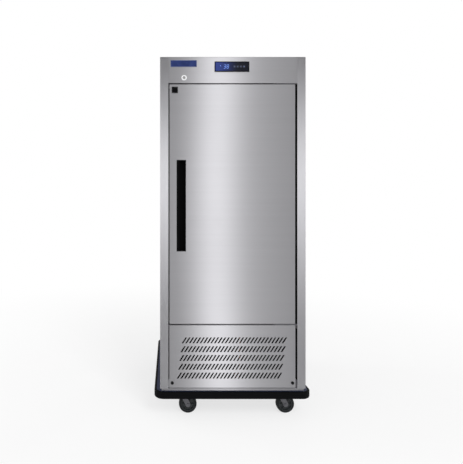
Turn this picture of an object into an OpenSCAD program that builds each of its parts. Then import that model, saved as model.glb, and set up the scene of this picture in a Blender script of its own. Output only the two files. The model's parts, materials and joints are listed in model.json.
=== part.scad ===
// Upright single-door stainless refrigerator on a mobile base.
// Millimetres. X points right, Y points back, Z points up. The door faces -Y,
// and the origin is on the floor under the middle of the base.

/* [Cabinet] */
// Width of the cabinet over its side panels
body_w = 737; // [700:1:800]
// Depth of the cabinet from its front face to its back panel
body_d = 790; // [760:1:830]
// Height of the cabinet above its plinth
body_h = 1680; // [1600:1:1800]
// Thickness of the stainless sheet
sheet = 1.2; // [0.8:0.1:1.5]
// Width of the stiles on both sides of the door
stile_w = 42; // [38:1:50]
// Height of the header panel above the door
header_h = 133; // [126:1:150]
// Height of the machine compartment below the door sill
machine_h = 322; // [312:1:350]
// Drop from the sill to the machine compartment's ceiling
sill_drop = 19; // [14:1:28]
// Width of the folded flanges inside the panels
flange_w = 18; // [15:1:22]
// Insulation above the cavity
roof_wall = 62; // [50:1:72]
// Insulation behind the cavity
rear_wall = 60; // [56:1:75]
// Width of the breaker frame at the sides of the cavity
breaker_side = 43.5; // [38:0.5:48]
// Width of the breaker frame above and below the cavity
breaker_end = 37; // [34:0.5:44]
// Thickness of the breaker frame
breaker_t = 4; // [3:0.5:6]
// Thickness of the inner liner
liner_t = 1; // [0.8:0.1:1.5]
// Depth of the lintel that hides the cooling unit
lintel_d = 44; // [30:1:60]

/* [Door] */
// Gap between the left stile and the door
door_gap_left = 4.8; // [4:0.1:8]
// Gap between the door and the right stile, at the hinges
door_gap_right = 10; // [9:0.1:13]
// Gap between the door and the header
door_gap_top = 4.5; // [4.5:0.1:6]
// Gap between the sill and the door
door_gap_bottom = 4.5; // [4.2:0.1:6]
// Thickness of the door without its gasket
door_t = 58; // [52:1:64]
// Depth of the plastic inner pan at the back of the door
pan_d = 8; // [6:0.5:12]
// Wall of the inner pan
pan_t = 2; // [1.5:0.1:3]
// Depth of the gasket when the door is shut
gasket_t = 12; // [10:0.5:16]
// Width of the gasket's sealing face
gasket_w = 18; // [15:0.5:20]
// Width of the gasket's root on the door pan
gasket_root = 10; // [8:0.5:12]
// From the door's edge to the gasket
gasket_inset = 12.5; // [11:0.5:14]
// Air between the resting gasket and the breaker frame
gasket_air = 0.5; // [0.3:0.1:1]

/* [Handle] */
// Width of the recessed handle
handle_w = 47.4; // [42:0.1:56]
// Height of the recessed handle
handle_h = 463; // [400:1:500]
// Height of the handle's middle above the sill
handle_z = 604.5; // [560:0.5:640]
// From the door's free edge to the handle
handle_edge = 36.7; // [30:0.1:60]
// Depth of the finger recess
handle_d = 28; // [22:1:36]
// Wall of the handle cup
handle_t = 2; // [1.5:0.1:2.5]
// Thickness of the handle's rim on the door
handle_rim_t = 1.5; // [1:0.1:2.5]
// Width of the handle's rim around the cut in the door
handle_rim_w = 2; // [1.5:0.1:3]
// Width of the grip lip that fingers pull on
grip_w = 14; // [10:0.5:17]
// Thickness of the grip lip
grip_t = 4; // [3:0.5:6]

/* [Hinges] */
// Diameter of the hinge pins
pin_d = 10; // [8:0.5:11]
// From the pin's axis to the door's front and edge
pin_inset = 16; // [15:0.5:18]
// Length of the hinge pins
pin_l = 20; // [16:1:24]
// Running clearance around a pin or axle, on the radius
fit = 0.05; // [0.02:0.01:0.08]
// Diameter of the bushes in the door
bush_d = 18; // [16:0.5:20]
// Width of the hinge brackets
hinge_w = 113; // [100:1:130]
// Depth of the hinge brackets
hinge_d = 30; // [30:1:36]
// Thickness of the upper hinge bracket
hinge_top_t = 3; // [2.5:0.1:3.5]
// Thickness of the collar under the door
collar_t = 0.4; // [0.3:0.1:0.6]
// Play between the collar and the door
collar_play = 0.1; // [0.05:0.05:0.2]

/* [Trim and lock] */
// Width of the bare name plate
plate_w = 132.8; // [110:0.1:150]
// Height of the bare name plate
plate_h = 34; // [26:0.5:40]
// Thickness of the name plate and half that of the badge
plate_t = 1.2; // [0.8:0.1:2]
// From the left stile to the name plate
plate_edge = 10.9; // [6:0.1:20]
// From the cabinet's top to the name plate
plate_drop = 17; // [12:1:24]
// Side of the square door badge
badge_w = 32; // [26:1:36]
// From the door's top edge to the badge
badge_drop = 14; // [10:0.5:20]
// From the door's free edge to the badge
badge_edge = 11.7; // [8:0.1:20]
// From the left stile to the lock's axis
lock_edge = 79.3; // [70:0.1:90]
// Height of the lock's axis above the header's lower edge
lock_up = 27; // [24:0.5:29]
// Diameter of the lock's outer ring
ring_d = 27; // [25:0.5:29]
// Thickness of the lock's ring and the bezel
trim_t = 3; // [2.5:0.1:4]
// Diameter of the lock barrel
barrel_d = 19; // [18:0.5:21]
// Length of the lock barrel behind the ring
barrel_l = 20; // [16:0.5:24]
// Diameter of the lock plug
plug_d = 14; // [12:0.5:15]
// Length of the lock's cam from its axis
cam_l = 42; // [38:0.5:44]
// Width of the lock's cam
cam_w = 8; // [6:0.5:10]
// Thickness of the lock's cam
cam_t = 2.5; // [2:0.1:3.5]
// Clearance around the cam in its slots
cam_gap = 1.5; // [1:0.1:2.5]

/* [Controller] */
// Width of the display bezel
bezel_w = 176; // [160:1:190]
// Height of the display bezel
bezel_h = 52; // [48:1:60]
// From the cabinet's middle to the bezel's middle
bezel_x = -5; // [-20:1:20]
// From the cabinet's top to the bezel's middle
bezel_drop = 50; // [44:1:60]
// Width of the bezel's frame around its window
bezel_frame = 5; // [4:0.5:8]
// Thickness of the display window
window_t = 1.5; // [1:0.1:2]
// Depth of the controller's case behind the header
case_d = 40; // [30:1:50]
// Side of a square key
key_w = 10.6; // [9:0.1:12]
// Distance between the keys
key_pitch = 16; // [15:0.5:18]
// From the bezel's middle to the first key
key_start = 13; // [8:1:18]
// Height of a key over the window
key_proud = 0.4; // [0.2:0.1:1]
// Travel of a key
key_travel = 1; // [0.5:0.1:1]
// Clearance around a key
key_gap = 0.2; // [0.1:0.05:0.3]

/* [Grille] */
// Number of slots in a row
slot_count = 29; // [20:1:29]
// Number of rows of slots
slot_rows = 5; // [3:1:5]
// Distance between slots in a row
slot_pitch = 18.1; // [17:0.1:19]
// Distance between rows of slots
slot_row_pitch = 44.6; // [42:0.1:46]
// Width of a slot, measured level
slot_w = 8.5; // [6:0.5:10]
// Height of a slot
slot_h = 30; // [24:1:34]
// Lean of a slot's top to the right
slot_lean = 19; // [10:1:24]
// Shift of each row to the left of the row above
slot_shift = 6.2; // [0:0.1:8]
// From the sill to the middle of the top row
slot_drop = 77.5; // [60:0.5:90]
// From the panel's left edge to the middle of the first slot
slot_edge = 76; // [70:0.5:90]
// Depth of the grille panel's folded edge
grille_d = 16; // [12:1:18]
// Gap above the grille panel
grille_gap_top = 0.5; // [0.3:0.1:2]
// Gap between the plinth and the grille panel
grille_gap_bottom = 4; // [3:0.5:6]
// From the grille's edges to its screws
grille_screw_edge = 14.5; // [13:0.5:20]
// Height of the grille's screws above the grille's lower edge
grille_screw_up = 25; // [20:1:34]
// Diameter of the grille screws' heads
grille_head_d = 16; // [13:0.5:18]
// Diameter of the grille screws' shanks
grille_shank_d = 6; // [5:0.5:7]

/* [Base] */
// Stand-out of the base beside the cabinet
base_side = 18; // [12:1:24]
// Stand-out of the base behind the cabinet
base_back = 18; // [12:1:24]
// Height of the base frame's channel
frame_h = 36; // [34:1:44]
// Thickness of the base frame's channel
frame_t = 3; // [2:0.5:4]
// Width of the base frame's upper flange
frame_top_w = 80; // [70:1:95]
// Width of the base frame's lower flange
frame_low_w = 20; // [12:1:24]
// Outer corner radius of the base frame
frame_r = 36; // [28:1:44]
// Drop of the channel below the caster plates
frame_drop = 11; // [8:1:14]
// Thickness of the corner gussets that take the casters
gusset_t = 4; // [3:0.5:6]
// Length of a corner gusset along X
gusset_w = 184; // [180:1:200]
// Length of a corner gusset along Y
gusset_d = 124; // [122:1:150]
// Thickness of the rubber bumper
bumper_t = 12; // [8:0.5:16]
// Chamfer on the bumper's outer edges
bumper_chamfer = 3; // [1:0.5:4]
// Height of the plinth below the cabinet
plinth_h = 13; // [10:1:20]
// Inset of the plinth at the sides and back
plinth_inset = 8; // [4:1:10]
// Inset of the plinth at the front
plinth_front = 4; // [2:1:6]
// Width of the plinth's folded foot
plinth_foot = 15; // [14:1:18]

/* [Casters] */
// Height of a caster from the floor to its plate's top
caster_h = 124; // [120:1:130]
// Diameter of the wheels
wheel_d = 94; // [84:1:96]
// Width of the tyres
wheel_w = 28; // [24:1:30]
// Diameter of the wheels' axles
axle_d = 8; // [7:0.5:10]
// From the kingpin's axis to the wheel's axis
trail = 33; // [28:1:36]
// Gap between the fork's legs
fork_gap = 32; // [31:0.5:36]
// Thickness of the fork's legs
leg_t = 3; // [2.5:0.5:4]
// Thickness of the fork's crown
crown_t = 4; // [3:0.5:5]
// Diameter of the fork's crown
crown_d = 54; // [50:1:58]
// Diameter of the kingpin
kingpin_d = 12; // [10:0.5:14]
// Diameter of the ball race below the plate
race_d = 58; // [52:1:60]
// Height of the ball race
race_h = 7; // [6:0.5:9]
// Gap between the race and the fork
race_gap = 0.3; // [0.2:0.05:0.4]
// Width of a caster plate
caster_plate_w = 90; // [88:1:100]
// Depth of a caster plate
caster_plate_d = 70; // [68:1:76]
// Thickness of a caster plate
caster_plate_t = 3; // [2.5:0.5:4]
// From the base's side to the kingpins
kingpin_side = 129.5; // [126:0.5:136]
// From the base's front and back to the kingpins
kingpin_end = 85; // [82:0.5:90]
// Diameter of the caster bolts
caster_bolt_d = 8; // [6:0.5:9]
// Diameter of the bolts between the plinth and the base frame
frame_bolt_d = 6; // [5:0.5:7]

/* [Interior] */
// Number of wire shelves
shelf_count = 3; // [2:1:3]
// Height of the lowest shelf above the cavity's floor
shelf_first = 279; // [240:1:300]
// Distance between shelves
shelf_pitch = 275; // [250:25:275]
// Diameter of a shelf's frame wire
shelf_rim_d = 7; // [6:0.5:9]
// Diameter of a shelf's thin wires
shelf_wire_d = 3.2; // [2.5:0.1:4]
// Number of thin wires on a shelf
shelf_wires = 22; // [16:1:26]
// Gap between a shelf and the shelf strips
shelf_side_gap = 4; // [3:0.5:6]
// Gap between a shelf and the cavity's back and front
shelf_end_gap = 26; // [20:1:34]
// Width of a shelf strip
strip_w = 18; // [16:1:24]
// Thickness of a shelf strip
strip_t = 3; // [2.5:0.5:4]
// Height of the strips' lower ends above the cavity's floor
strip_up = 29; // [20:1:40]
// Distance between the slots of a shelf strip
strip_pitch = 25; // [25:1:30]
// Height of a slot in a shelf strip
strip_slot_h = 10; // [9:0.5:12]
// Width of a slot in a shelf strip
strip_slot_w = 8; // [6:0.5:10]
// From the cavity's front and back to the strips
strip_end = 80; // [60:1:110]
// Reach of a shelf clip under its shelf
clip_reach = 11; // [10:0.5:13]
// Height of a shelf clip's tab
clip_h = 22; // [18:1:24]
// Thickness of a shelf clip
clip_t = 2; // [1.5:0.1:2.5]

/* [Cooling unit in the cavity] */
// From the cavity's side to the cover
cover_side = 43; // [33:1:53]
// From the cavity's front to the cover
cover_in = 99.5; // [90:0.5:105]
// Height of the evaporator's cover
cover_h = 160; // [150:1:172]
// From the cavity's back to the cover
cover_rear = 26; // [22:1:32]
// From the cover's side to the coil
evap_side = 45; // [42:1:60]
// Depth of the evaporator coil
evap_d = 150; // [140:1:170]
// Height of the evaporator coil
evap_h = 116; // [110:1:120]
// From the cover's back edge to the coil
evap_rear = 70; // [64:1:80]
// Diameter of the evaporator fan
evap_fan_d = 190; // [170:1:200]
// Diameter of the evaporator fan's motor
evap_motor_d = 84; // [70:1:90]
// Height of the evaporator fan's motor
evap_motor_h = 60; // [50:1:66]
// From the cover's front to the fan's axis
evap_fan_in = 130; // [122:1:140]
// Width of the lamp
lamp_w = 120; // [90:1:160]

/* [Machine compartment] */
// Width of the condenser coil
cond_w = 300; // [280:1:306]
// Height of the condenser coil
cond_h = 262; // [250:1:272]
// Depth of the condenser coil
cond_d = 80; // [74:1:84]
// From the cabinet's middle to the condenser's middle
cond_x = -140; // [-146:1:-136]
// From the grille to the condenser coil
cond_in = 18; // [14:1:22]
// Diameter of the condenser's fan
cond_fan_d = 218; // [200:1:220]
// Diameter of the condenser fan's motor
cond_motor_d = 90; // [80:1:96]
// Length of the condenser fan's motor
cond_motor_l = 60; // [50:1:66]
// Diameter of both fans' shafts
shaft_d = 8; // [6:0.5:9]
// Diameter of the compressor's can
comp_d = 184; // [170:1:190]
// Height of the compressor's can
comp_h = 196; // [180:1:204]
// From the cabinet's middle to the compressor's axis
comp_x = 190; // [186:1:196]
// From the back panel to the compressor's axis
comp_in = 266; // [260:1:272]
// Height of the rubber grommets under the compressor
grommet_h = 12; // [10:1:15]
// Diameter of the rubber grommets
grommet_d = 24; // [20:1:26]
// Diameter of the compressor's studs
stud_d = 6; // [5:0.5:7]
// Width of the electrical box
ebox_w = 190; // [170:1:200]
// Depth of the electrical box
ebox_d = 120; // [100:1:130]
// Height of the electrical box
ebox_h = 168; // [150:1:176]
// From the grille to the electrical box
ebox_in = 38; // [34:1:50]
// From the cabinet's middle to the electrical box
ebox_x = 75; // [72:1:80]
// Width of the condensate pan
drip_w = 240; // [200:1:250]
// Depth of the condensate pan
drip_d = 250; // [230:1:260]
// Height of the condensate pan
drip_h = 42; // [30:1:48]
// From the cabinet's middle to the condensate pan
drip_x = 60; // [54:1:70]
// Gap between the condensate pan and the back panel's flange
drip_in = 4; // [1:1:6]
// Outer diameter of the drain tube
drain_d = 16; // [14:0.5:18]
// Wall of the drain tube
drain_t = 2; // [1.5:0.1:2.5]
// Diameter of the suction line
suction_d = 10; // [8:0.5:12]
// Diameter of the discharge and liquid lines
line_d = 8; // [6:0.5:9]
// Diameter of the capillary tube
capillary_d = 4; // [3:0.5:5]
// Diameter of the wiring harness
harness_d = 8; // [6:0.5:9]
// Width of the power inlet's socket
inlet_w = 24.4; // [24:0.1:25]
// Height of the power inlet's socket
inlet_h = 16.4; // [16:0.1:17]
// Wall of the power inlet
inlet_t = 1.6; // [1.2:0.1:2]
// Depth of the power inlet's socket
inlet_d = 18; // [16:1:20]

/* [Screws] */
// Diameter of the cabinet screws' shanks
screw_d = 4; // [3:0.5:5]
// Diameter of the cabinet screws' heads
screw_head_d = 8; // [7:0.5:9]
// Thickness of the cabinet screws' heads
screw_head_t = 2; // [1.5:0.1:2.5]
// Length of the cabinet screws below their heads
screw_l = 14; // [10:1:18]
// Clearance of a screw hole, on the radius
screw_gap = 0.1; // [0.05:0.05:0.2]

/* [Hidden] */
$fn = 48;

// Extra length of a cutting tool past the face that it cuts
over = 1;
// Gap that keeps seated pieces of one node apart
seat = 0.05;

// Base and cabinet planes
half_w = body_w / 2;
base_w = body_w + 2 * base_side;
base_d = body_d + base_back;
front_y = -base_d / 2;
back_y = front_y + body_d;
deck_z = caster_h - frame_drop + frame_h;
body_z = deck_z + plinth_h;
top_z = body_z + body_h;
roof_z = top_z - sheet;

// Door opening
opening_x = half_w - stile_w;
sill_z = body_z + machine_h;
ceiling_z = sill_z - sill_drop;
header_z = top_z - header_h;
door_left = -opening_x + door_gap_left;
door_right = opening_x - door_gap_right;
door_bottom = sill_z + door_gap_bottom;
door_top = header_z - door_gap_top;
door_back = front_y + door_t;
skin_back = door_back - pan_d;
gasket_back = door_back + gasket_t;
breaker_y = gasket_back + gasket_air;
breaker_back = breaker_y + breaker_t;

// Cavity
cavity_x = opening_x - breaker_side;
cavity_z = sill_z + breaker_end;
lintel_z = header_z - breaker_end;
cavity_top = top_z - roof_wall;
cavity_back = back_y - rear_wall;

// Hinge axis
hinge_x = door_right - pin_inset;
hinge_y = front_y + pin_inset;
hinge_low_t = door_gap_bottom - collar_t - collar_play;
hinge_low = sill_z + hinge_low_t;
hinge_high = header_z - hinge_top_t;
hinge_left = opening_x - hinge_w;
hinge_front = front_y + 2;
hinge_screw_y = hinge_front + hinge_d - 7;
bush_l = pin_l + 2;
pin_r = pin_d / 2;

// Lock
lock_x = -opening_x + lock_edge;
lock_z = header_z + lock_up;
cam_y = front_y + barrel_l + 0.1;
cam_reach = norm([cam_l, cam_w / 2]);
plug_head_t = 1.5;

// Controller
bezel_z = top_z - bezel_drop;
window_w = bezel_w - 2 * bezel_frame;
window_h = bezel_h - 2 * bezel_frame;
window_y = front_y - trim_t + 0.1;
window_back = window_y + window_t;
case_w = bezel_w - 12;
case_h = bezel_h - 10;
case_back = front_y + case_d;
key_flange = 1;

// Handle
handle_left = door_left + handle_edge;
handle_right = handle_left + handle_w;
handle_low = sill_z + handle_z - handle_h / 2;
handle_high = handle_low + handle_h;

// Grille
grille_top = sill_z - sheet - grille_gap_top;
grille_bottom = body_z + grille_gap_bottom;
grille_back = front_y + grille_d;
grille_screw_z = grille_bottom + grille_screw_up;
grille_screw_x = [door_left + grille_screw_edge, door_right - grille_screw_edge];
tab_t = 2;
tab_w = 34;

// Base frame and casters
frame_x = base_w / 2;
frame_y = base_d / 2;
frame_z = caster_h - frame_drop;
kingpin_x = frame_x - kingpin_side;
kingpin_y = frame_y - kingpin_end;
race_z = caster_h - caster_plate_t - race_h;
crown_z = race_z - race_gap - crown_t;
hub_w = fork_gap - 0.4;
wheel_z = wheel_d / 2;
bolt_dx = caster_plate_w / 2 - 10;
bolt_dy = caster_plate_d / 2 - 9;
frame_bolt_x = half_w - plinth_inset - (plinth_foot + sheet) / 2;
frame_bolt_y = kingpin_y - 60;

// Shelves
strip_x = cavity_x - strip_t;
strip_y = [breaker_back + strip_end, cavity_back - strip_end];
strip_z = cavity_z + strip_up;
strip_top = cavity_top - cover_h - 30;
strip_slots = floor((strip_top - strip_z - 20) / strip_pitch);
shelf_x = strip_x - shelf_side_gap;
shelf_front = breaker_back + shelf_end_gap;
shelf_back = cavity_back - shelf_end_gap;

// Cooling unit in the cavity
cover_back = cavity_back - cover_rear;
cover_front = breaker_back + cover_in;
cover_w = 2 * (cavity_x - cover_side);
evap_w = cover_w - 2 * evap_side;
cover_z = cavity_top - cover_h;
evap_back = cover_back - evap_rear;
evap_front = evap_back - evap_d;
evap_z = cavity_top - 12 - evap_h;
evap_fan_y = cover_front + evap_fan_in;
evap_fan_z = cover_z + 22;
fan_hub_h = 34;
evap_shaft_z = evap_fan_z - 4;

// Machine compartment
cond_front = grille_back + cond_in;
cond_back = cond_front + cond_d;
cond_left = cond_x - cond_w / 2;
cond_right = cond_x + cond_w / 2;
cond_top = body_z + 18 + cond_h;
cond_z = body_z + 18 + cond_h / 2;
shroud_back = cond_back + 28;
cond_fan_y = shroud_back - 16;
cond_motor_y = cond_fan_y + fan_hub_h + 10;
comp_y = back_y - comp_in;
comp_z = body_z + grommet_h + 3;
ebox_front = grille_back + ebox_in;
drip_back = back_y - flange_w - drip_in;
channel_y = cavity_back + 19;
drain_x = -drip_x - drip_w / 4;
inlet_x = half_w - 118.5;
inlet_z = body_z + 78;

// Pipe routes
pipe_x = cond_right + 35;
cond_tube_y = [cond_front + 20, cond_back - 20];
cond_tube_z = [for (i = [0 : 7]) body_z + 36 + i * 32];
evap_tube_y = [evap_front + 42, evap_back - 42];
evap_tube_z = [for (i = [0 : 3]) evap_z + 16 + i * 28];
liquid_z = cond_tube_z[0];
discharge_z = cond_tube_z[7];
stub_z = comp_z + 120;
drier_d = 26;
drier_y = comp_y - comp_d / 2 - 98;
drier_z = liquid_z + 40;
drier_top = drier_z + 110;
capillary_z = drier_top + 50;
capillary_x = -60;
suction_x = -10;
run_z = ceiling_z - 40;
discharge_path = [
    [comp_x, comp_y - comp_d / 2 - 10, stub_z],
    [comp_x, comp_y - comp_d / 2 - 50, stub_z],
    [comp_x, comp_y - comp_d / 2 - 50, discharge_z],
    [pipe_x, comp_y - comp_d / 2 - 50, discharge_z],
    [pipe_x, cond_tube_y[0], discharge_z],
    [pipe_x, cond_tube_y[0], liquid_z],
    [cond_right + 3, cond_tube_y[0], liquid_z]
];
liquid_path = [
    [cond_right + 3, cond_tube_y[1], liquid_z],
    [pipe_x, cond_tube_y[1], liquid_z],
    [pipe_x, drier_y, liquid_z],
    [pipe_x, drier_y, drier_z]
];
capillary_path = [
    [pipe_x, drier_y, drier_top],
    [pipe_x, drier_y, capillary_z],
    [capillary_x, drier_y, capillary_z],
    [capillary_x, channel_y, capillary_z],
    [capillary_x, channel_y, evap_tube_z[2]],
    [capillary_x, evap_back + 3, evap_tube_z[2]]
];
suction_path = [
    [suction_x, evap_back + 3, evap_tube_z[1]],
    [suction_x, channel_y, evap_tube_z[1]],
    [suction_x, channel_y, run_z],
    [comp_x, channel_y, run_z],
    [comp_x, channel_y, stub_z],
    [comp_x, comp_y + comp_d / 2 + 10, stub_z]
];
drain_path = [
    [drain_x, cover_back - 14, cover_z],
    [drain_x, cover_back - 14, cover_z - 18],
    [drain_x, channel_y, cover_z - 18],
    [drain_x, channel_y, body_z + drip_h - 12]
];
harness_x = half_w - 21;
harness_y = ebox_front + ebox_d / 2;
harness_front = front_y + 26;
control_x = ebox_x + 90;
control_path = [
    [control_x, harness_y, body_z + ebox_h],
    [control_x, harness_y, ceiling_z - 20],
    [harness_x, harness_y, ceiling_z - 20],
    [harness_x, harness_y, bezel_z],
    [harness_x, harness_front, bezel_z],
    [bezel_x + case_w / 2, harness_front, bezel_z]
];
wall_run_x = half_w - 38;
inlet_path = [
    [inlet_x, back_y - inlet_d - 4, inlet_z],
    [inlet_x, back_y - 56, inlet_z],
    [wall_run_x, back_y - 56, inlet_z],
    [wall_run_x, harness_y, inlet_z],
    [ebox_x + ebox_w, harness_y, inlet_z]
];
terminal_path = [[wall_run_x, comp_y, inlet_z], [comp_x + comp_d / 2 + 12, comp_y, inlet_z]];
motor_run_y = cond_motor_y + cond_motor_l / 2;
motor_path = [
    [ebox_x + 25, ebox_front + ebox_d, cond_z],
    [ebox_x + 25, motor_run_y, cond_z],
    [cond_x + cond_motor_d / 2 + 6, motor_run_y, cond_z]
];

// A block between two opposite corners
module block(a, b) {
    translate(a) cube(b - a);
}

// Rods along each axis, from one plane to another
module rod_x(x0, x1, y, z, d) {
    translate([x0, y, z]) rotate([0, 90, 0]) cylinder(d = d, h = x1 - x0);
}

module rod_y(x, y0, y1, z, d) {
    translate([x, y0, z]) rotate([-90, 0, 0]) cylinder(d = d, h = y1 - y0);
}

module rod_z(x, y, z0, z1, d) {
    translate([x, y, z0]) cylinder(d = d, h = z1 - z0);
}

// A tube route of straight legs with a soldered elbow at each corner
module pipe(path, d) {
    for (i = [0 : len(path) - 2]) {
        v = path[i + 1] - path[i];
        translate(path[i])
            rotate([0, acos(v[2] / norm(v)), atan2(v[1], v[0])])
                cylinder(d = d, h = norm(v));
    }
    for (i = [1 : len(path) - 2]) translate(path[i]) sphere(d = d * 1.2);
}

// Channels of the pipes that run through the insulation
module pipe_channels() {
    pipe(drain_path, drain_d);
    pipe(suction_path, suction_d);
    pipe(capillary_path, capillary_d);
}

// Copies on the left and on the right
module both_sides() {
    for (i = [0, 1]) mirror([i, 0, 0]) children();
}

// Copies at the four corners of a rectangle round a point
module corners(x, y) {
    for (i = [-1, 1]) for (j = [-1, 1]) translate([i * x, j * y, 0]) children();
}

// Places of the cabinet's screws. Each list holds one direction.
back_screws = [
    for (i = [-1, 1]) for (z = [body_z + 60, ceiling_z + 60, (ceiling_z + top_z) / 2, top_z - 60])
        [i * (half_w - flange_w / 2), z]
];
floor_screws = [
    for (i = [-1, 1]) for (j = [-1, 1])
        [i * (half_w - (flange_w + plinth_inset) / 2), (front_y + back_y) / 2 + j * (body_d / 2 - 90)]
];
strip_screws = [
    for (y = strip_y) for (z = [strip_z + 8, strip_top - 8]) [y, z]
];
cover_screws = [
    for (i = [-1, 1]) for (y = [cover_front + 40, cover_back - 40]) [i * (cover_w / 2 + 7), y]
];
hinge_screws = [for (i = [0, 1]) hinge_left + 14 + i * 36];

// One screw, its shank running down from its head. A gap draws only a hole.
module screw(l, gap) {
    translate([0, 0, -l]) cylinder(d = screw_d + 2 * gap, h = l);
    if (gap == 0) cylinder(d = screw_head_d, h = screw_head_t);
}

// All the cabinet's screws, or their holes
module screws(gap) {
    for (p = back_screws) translate([p[0], back_y, p[1]]) rotate([-90, 0, 0]) screw(screw_l, gap);
    for (p = floor_screws) translate([p[0], p[1], body_z + sheet]) screw(2 * sheet + 4, gap);
    both_sides() for (p = strip_screws)
        translate([strip_x, p[0], p[1]]) rotate([0, -90, 0]) screw(screw_l, gap);
    for (p = cover_screws)
        translate([p[0], p[1], cavity_top - sheet]) rotate([180, 0, 0]) screw(screw_l, gap);
    for (x = hinge_screws) {
        translate([x, hinge_screw_y, hinge_high + screw_head_t])
            rotate([180, 0, 0]) screw(hinge_top_t - screw_head_t + sheet + 4, gap);
        translate([x, hinge_screw_y, hinge_low - screw_head_t])
            screw(hinge_low_t - screw_head_t + sheet + 4, gap);
    }
}

// One side panel: wall, stile, return into the door recess, and flanges
module side_panel() {
    difference() {
        union() {
            block([-half_w, front_y, body_z], [-half_w + sheet, back_y - sheet, roof_z]);
            block([-half_w, front_y, body_z], [-opening_x, front_y + sheet, roof_z]);
            block([-opening_x - sheet, front_y, body_z], [-opening_x, breaker_back + liner_t, roof_z]);
            block([-half_w, back_y - 2 * sheet, body_z], [-half_w + flange_w, back_y - sheet, roof_z]);
            block([-half_w, front_y, roof_z - sheet], [-half_w + flange_w, back_y - sheet, roof_z]);
            block([-half_w, front_y, body_z], [-half_w + flange_w, back_y - sheet, body_z + sheet]);
        }
        screws(screw_gap);
    }
}

module left_side_panel() {
    color("silver") side_panel();
}

module right_side_panel() {
    color("silver") difference() {
        mirror([1, 0, 0]) side_panel();
        pipe(control_path, harness_d + 1);
    }
}

// Back panel with cooling louvres and a cut for the power inlet
module back_panel() {
    color("silver") difference() {
        union() {
            block([-half_w, back_y - sheet, body_z], [half_w, back_y, roof_z]);
            block(
                [-half_w + flange_w, back_y - flange_w, body_z],
                [half_w - flange_w, back_y, body_z + sheet]
            );
        }
        for (i = [0 : 7]) for (x = [cond_x - 90, 10])
            block(
                [x - 60, back_y - sheet - over, ceiling_z - 60 - i * 22],
                [x + 60, back_y + over, ceiling_z - 52 - i * 22]
            );
        block(
            [inlet_x - inlet_w / 2 - inlet_t, back_y - sheet - over, inlet_z - inlet_h / 2 - inlet_t],
            [inlet_x + inlet_w / 2 + inlet_t, back_y + over, inlet_z + inlet_h / 2 + inlet_t]
        );
        screws(screw_gap);
    }
}

module top_panel() {
    color("silver") block([-half_w, front_y, roof_z], [half_w, back_y, top_z]);
}

// Slot that the lock's cam sweeps at a height below its axis
module cam_slot(z0, z1) {
    reach = sqrt(cam_reach * cam_reach - pow(lock_z - z1, 2));
    block(
        [lock_x - cam_w / 2 - cam_gap, cam_y - cam_gap, z0],
        [lock_x + reach + cam_gap, cam_y + cam_t + cam_gap, z1]
    );
}

// Header panel with its lower return over the door
module header_panel() {
    color("silver") difference() {
        union() {
            block([-opening_x, front_y, header_z], [opening_x, front_y + sheet, roof_z]);
            block([-opening_x, front_y, header_z], [opening_x, breaker_back + liner_t, header_z + sheet]);
            block([-opening_x, front_y, roof_z - sheet], [opening_x, front_y + flange_w, roof_z]);
        }
        block(
            [bezel_x - case_w / 2, front_y - over, bezel_z - case_h / 2],
            [bezel_x + case_w / 2, front_y + sheet + over, bezel_z + case_h / 2]
        );
        rod_y(lock_x, front_y - over, front_y + sheet + over, lock_z, barrel_d);
        cam_slot(header_z - over, header_z + sheet + over);
        screws(screw_gap);
    }
}

// Floor of the machine compartment, with the plinth's skirts and feet
module base_pan() {
    x = half_w - plinth_inset;
    y0 = front_y + plinth_front;
    y1 = back_y - plinth_inset;
    color("silver") difference() {
        union() {
            difference() {
                block([-x, y0, deck_z], [x, y1, body_z]);
                block([-x + sheet, y0 + sheet, deck_z + sheet], [x - sheet, y1 - sheet, body_z - sheet]);
                block(
                    [-x + plinth_foot, y0 + plinth_foot, deck_z - over],
                    [x - plinth_foot, y1 - plinth_foot, deck_z + sheet + over]
                );
            }
            block(
                [-opening_x + 0.5, grille_back, body_z - sheet],
                [-opening_x + tab_w, grille_back + tab_t, grille_screw_z + 12]
            );
            block(
                [opening_x - tab_w - 5, grille_back, body_z - sheet],
                [opening_x - 0.5, grille_back + tab_t, grille_screw_z + 12]
            );
        }
        for (gx = grille_screw_x)
            rod_y(gx, grille_back - over, grille_back + tab_t + over, grille_screw_z, grille_shank_d);
        compressor_studs(body_z - sheet - over, body_z + over, stud_d + 2 * screw_gap);
        frame_bolts(deck_z - over, deck_z + sheet + over, frame_bolt_d + 2 * screw_gap);
        screws(screw_gap);
    }
}

// Door sill, its riser, and the ceiling of the machine compartment
module sill_panel() {
    color("silver") difference() {
        union() {
            block([-opening_x, hinge_front, sill_z - sheet], [opening_x, breaker_back, sill_z]);
            block([-opening_x, breaker_back - sheet, ceiling_z - sheet], [opening_x, breaker_back, sill_z]);
            block(
                [-opening_x, breaker_back - sheet, ceiling_z - sheet],
                [opening_x, breaker_back + 2, ceiling_z]
            );
            block(
                [-half_w + sheet, breaker_back + liner_t, ceiling_z - sheet],
                [half_w - sheet, back_y - 2 * sheet, ceiling_z]
            );
        }
        pipe(control_path, harness_d);
        pipe_channels();
        screws(screw_gap);
    }
}

// Space inside the liner, run out forward past its face
module cavity(grow, ahead) {
    block(
        [-cavity_x - grow, breaker_back - ahead, cavity_z - grow],
        [cavity_x + grow, cavity_back + grow, lintel_z + grow]
    );
    block(
        [-cavity_x - grow, breaker_back + lintel_d - grow, cavity_z - grow],
        [cavity_x + grow, cavity_back + grow, cavity_top + grow]
    );
}

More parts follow.
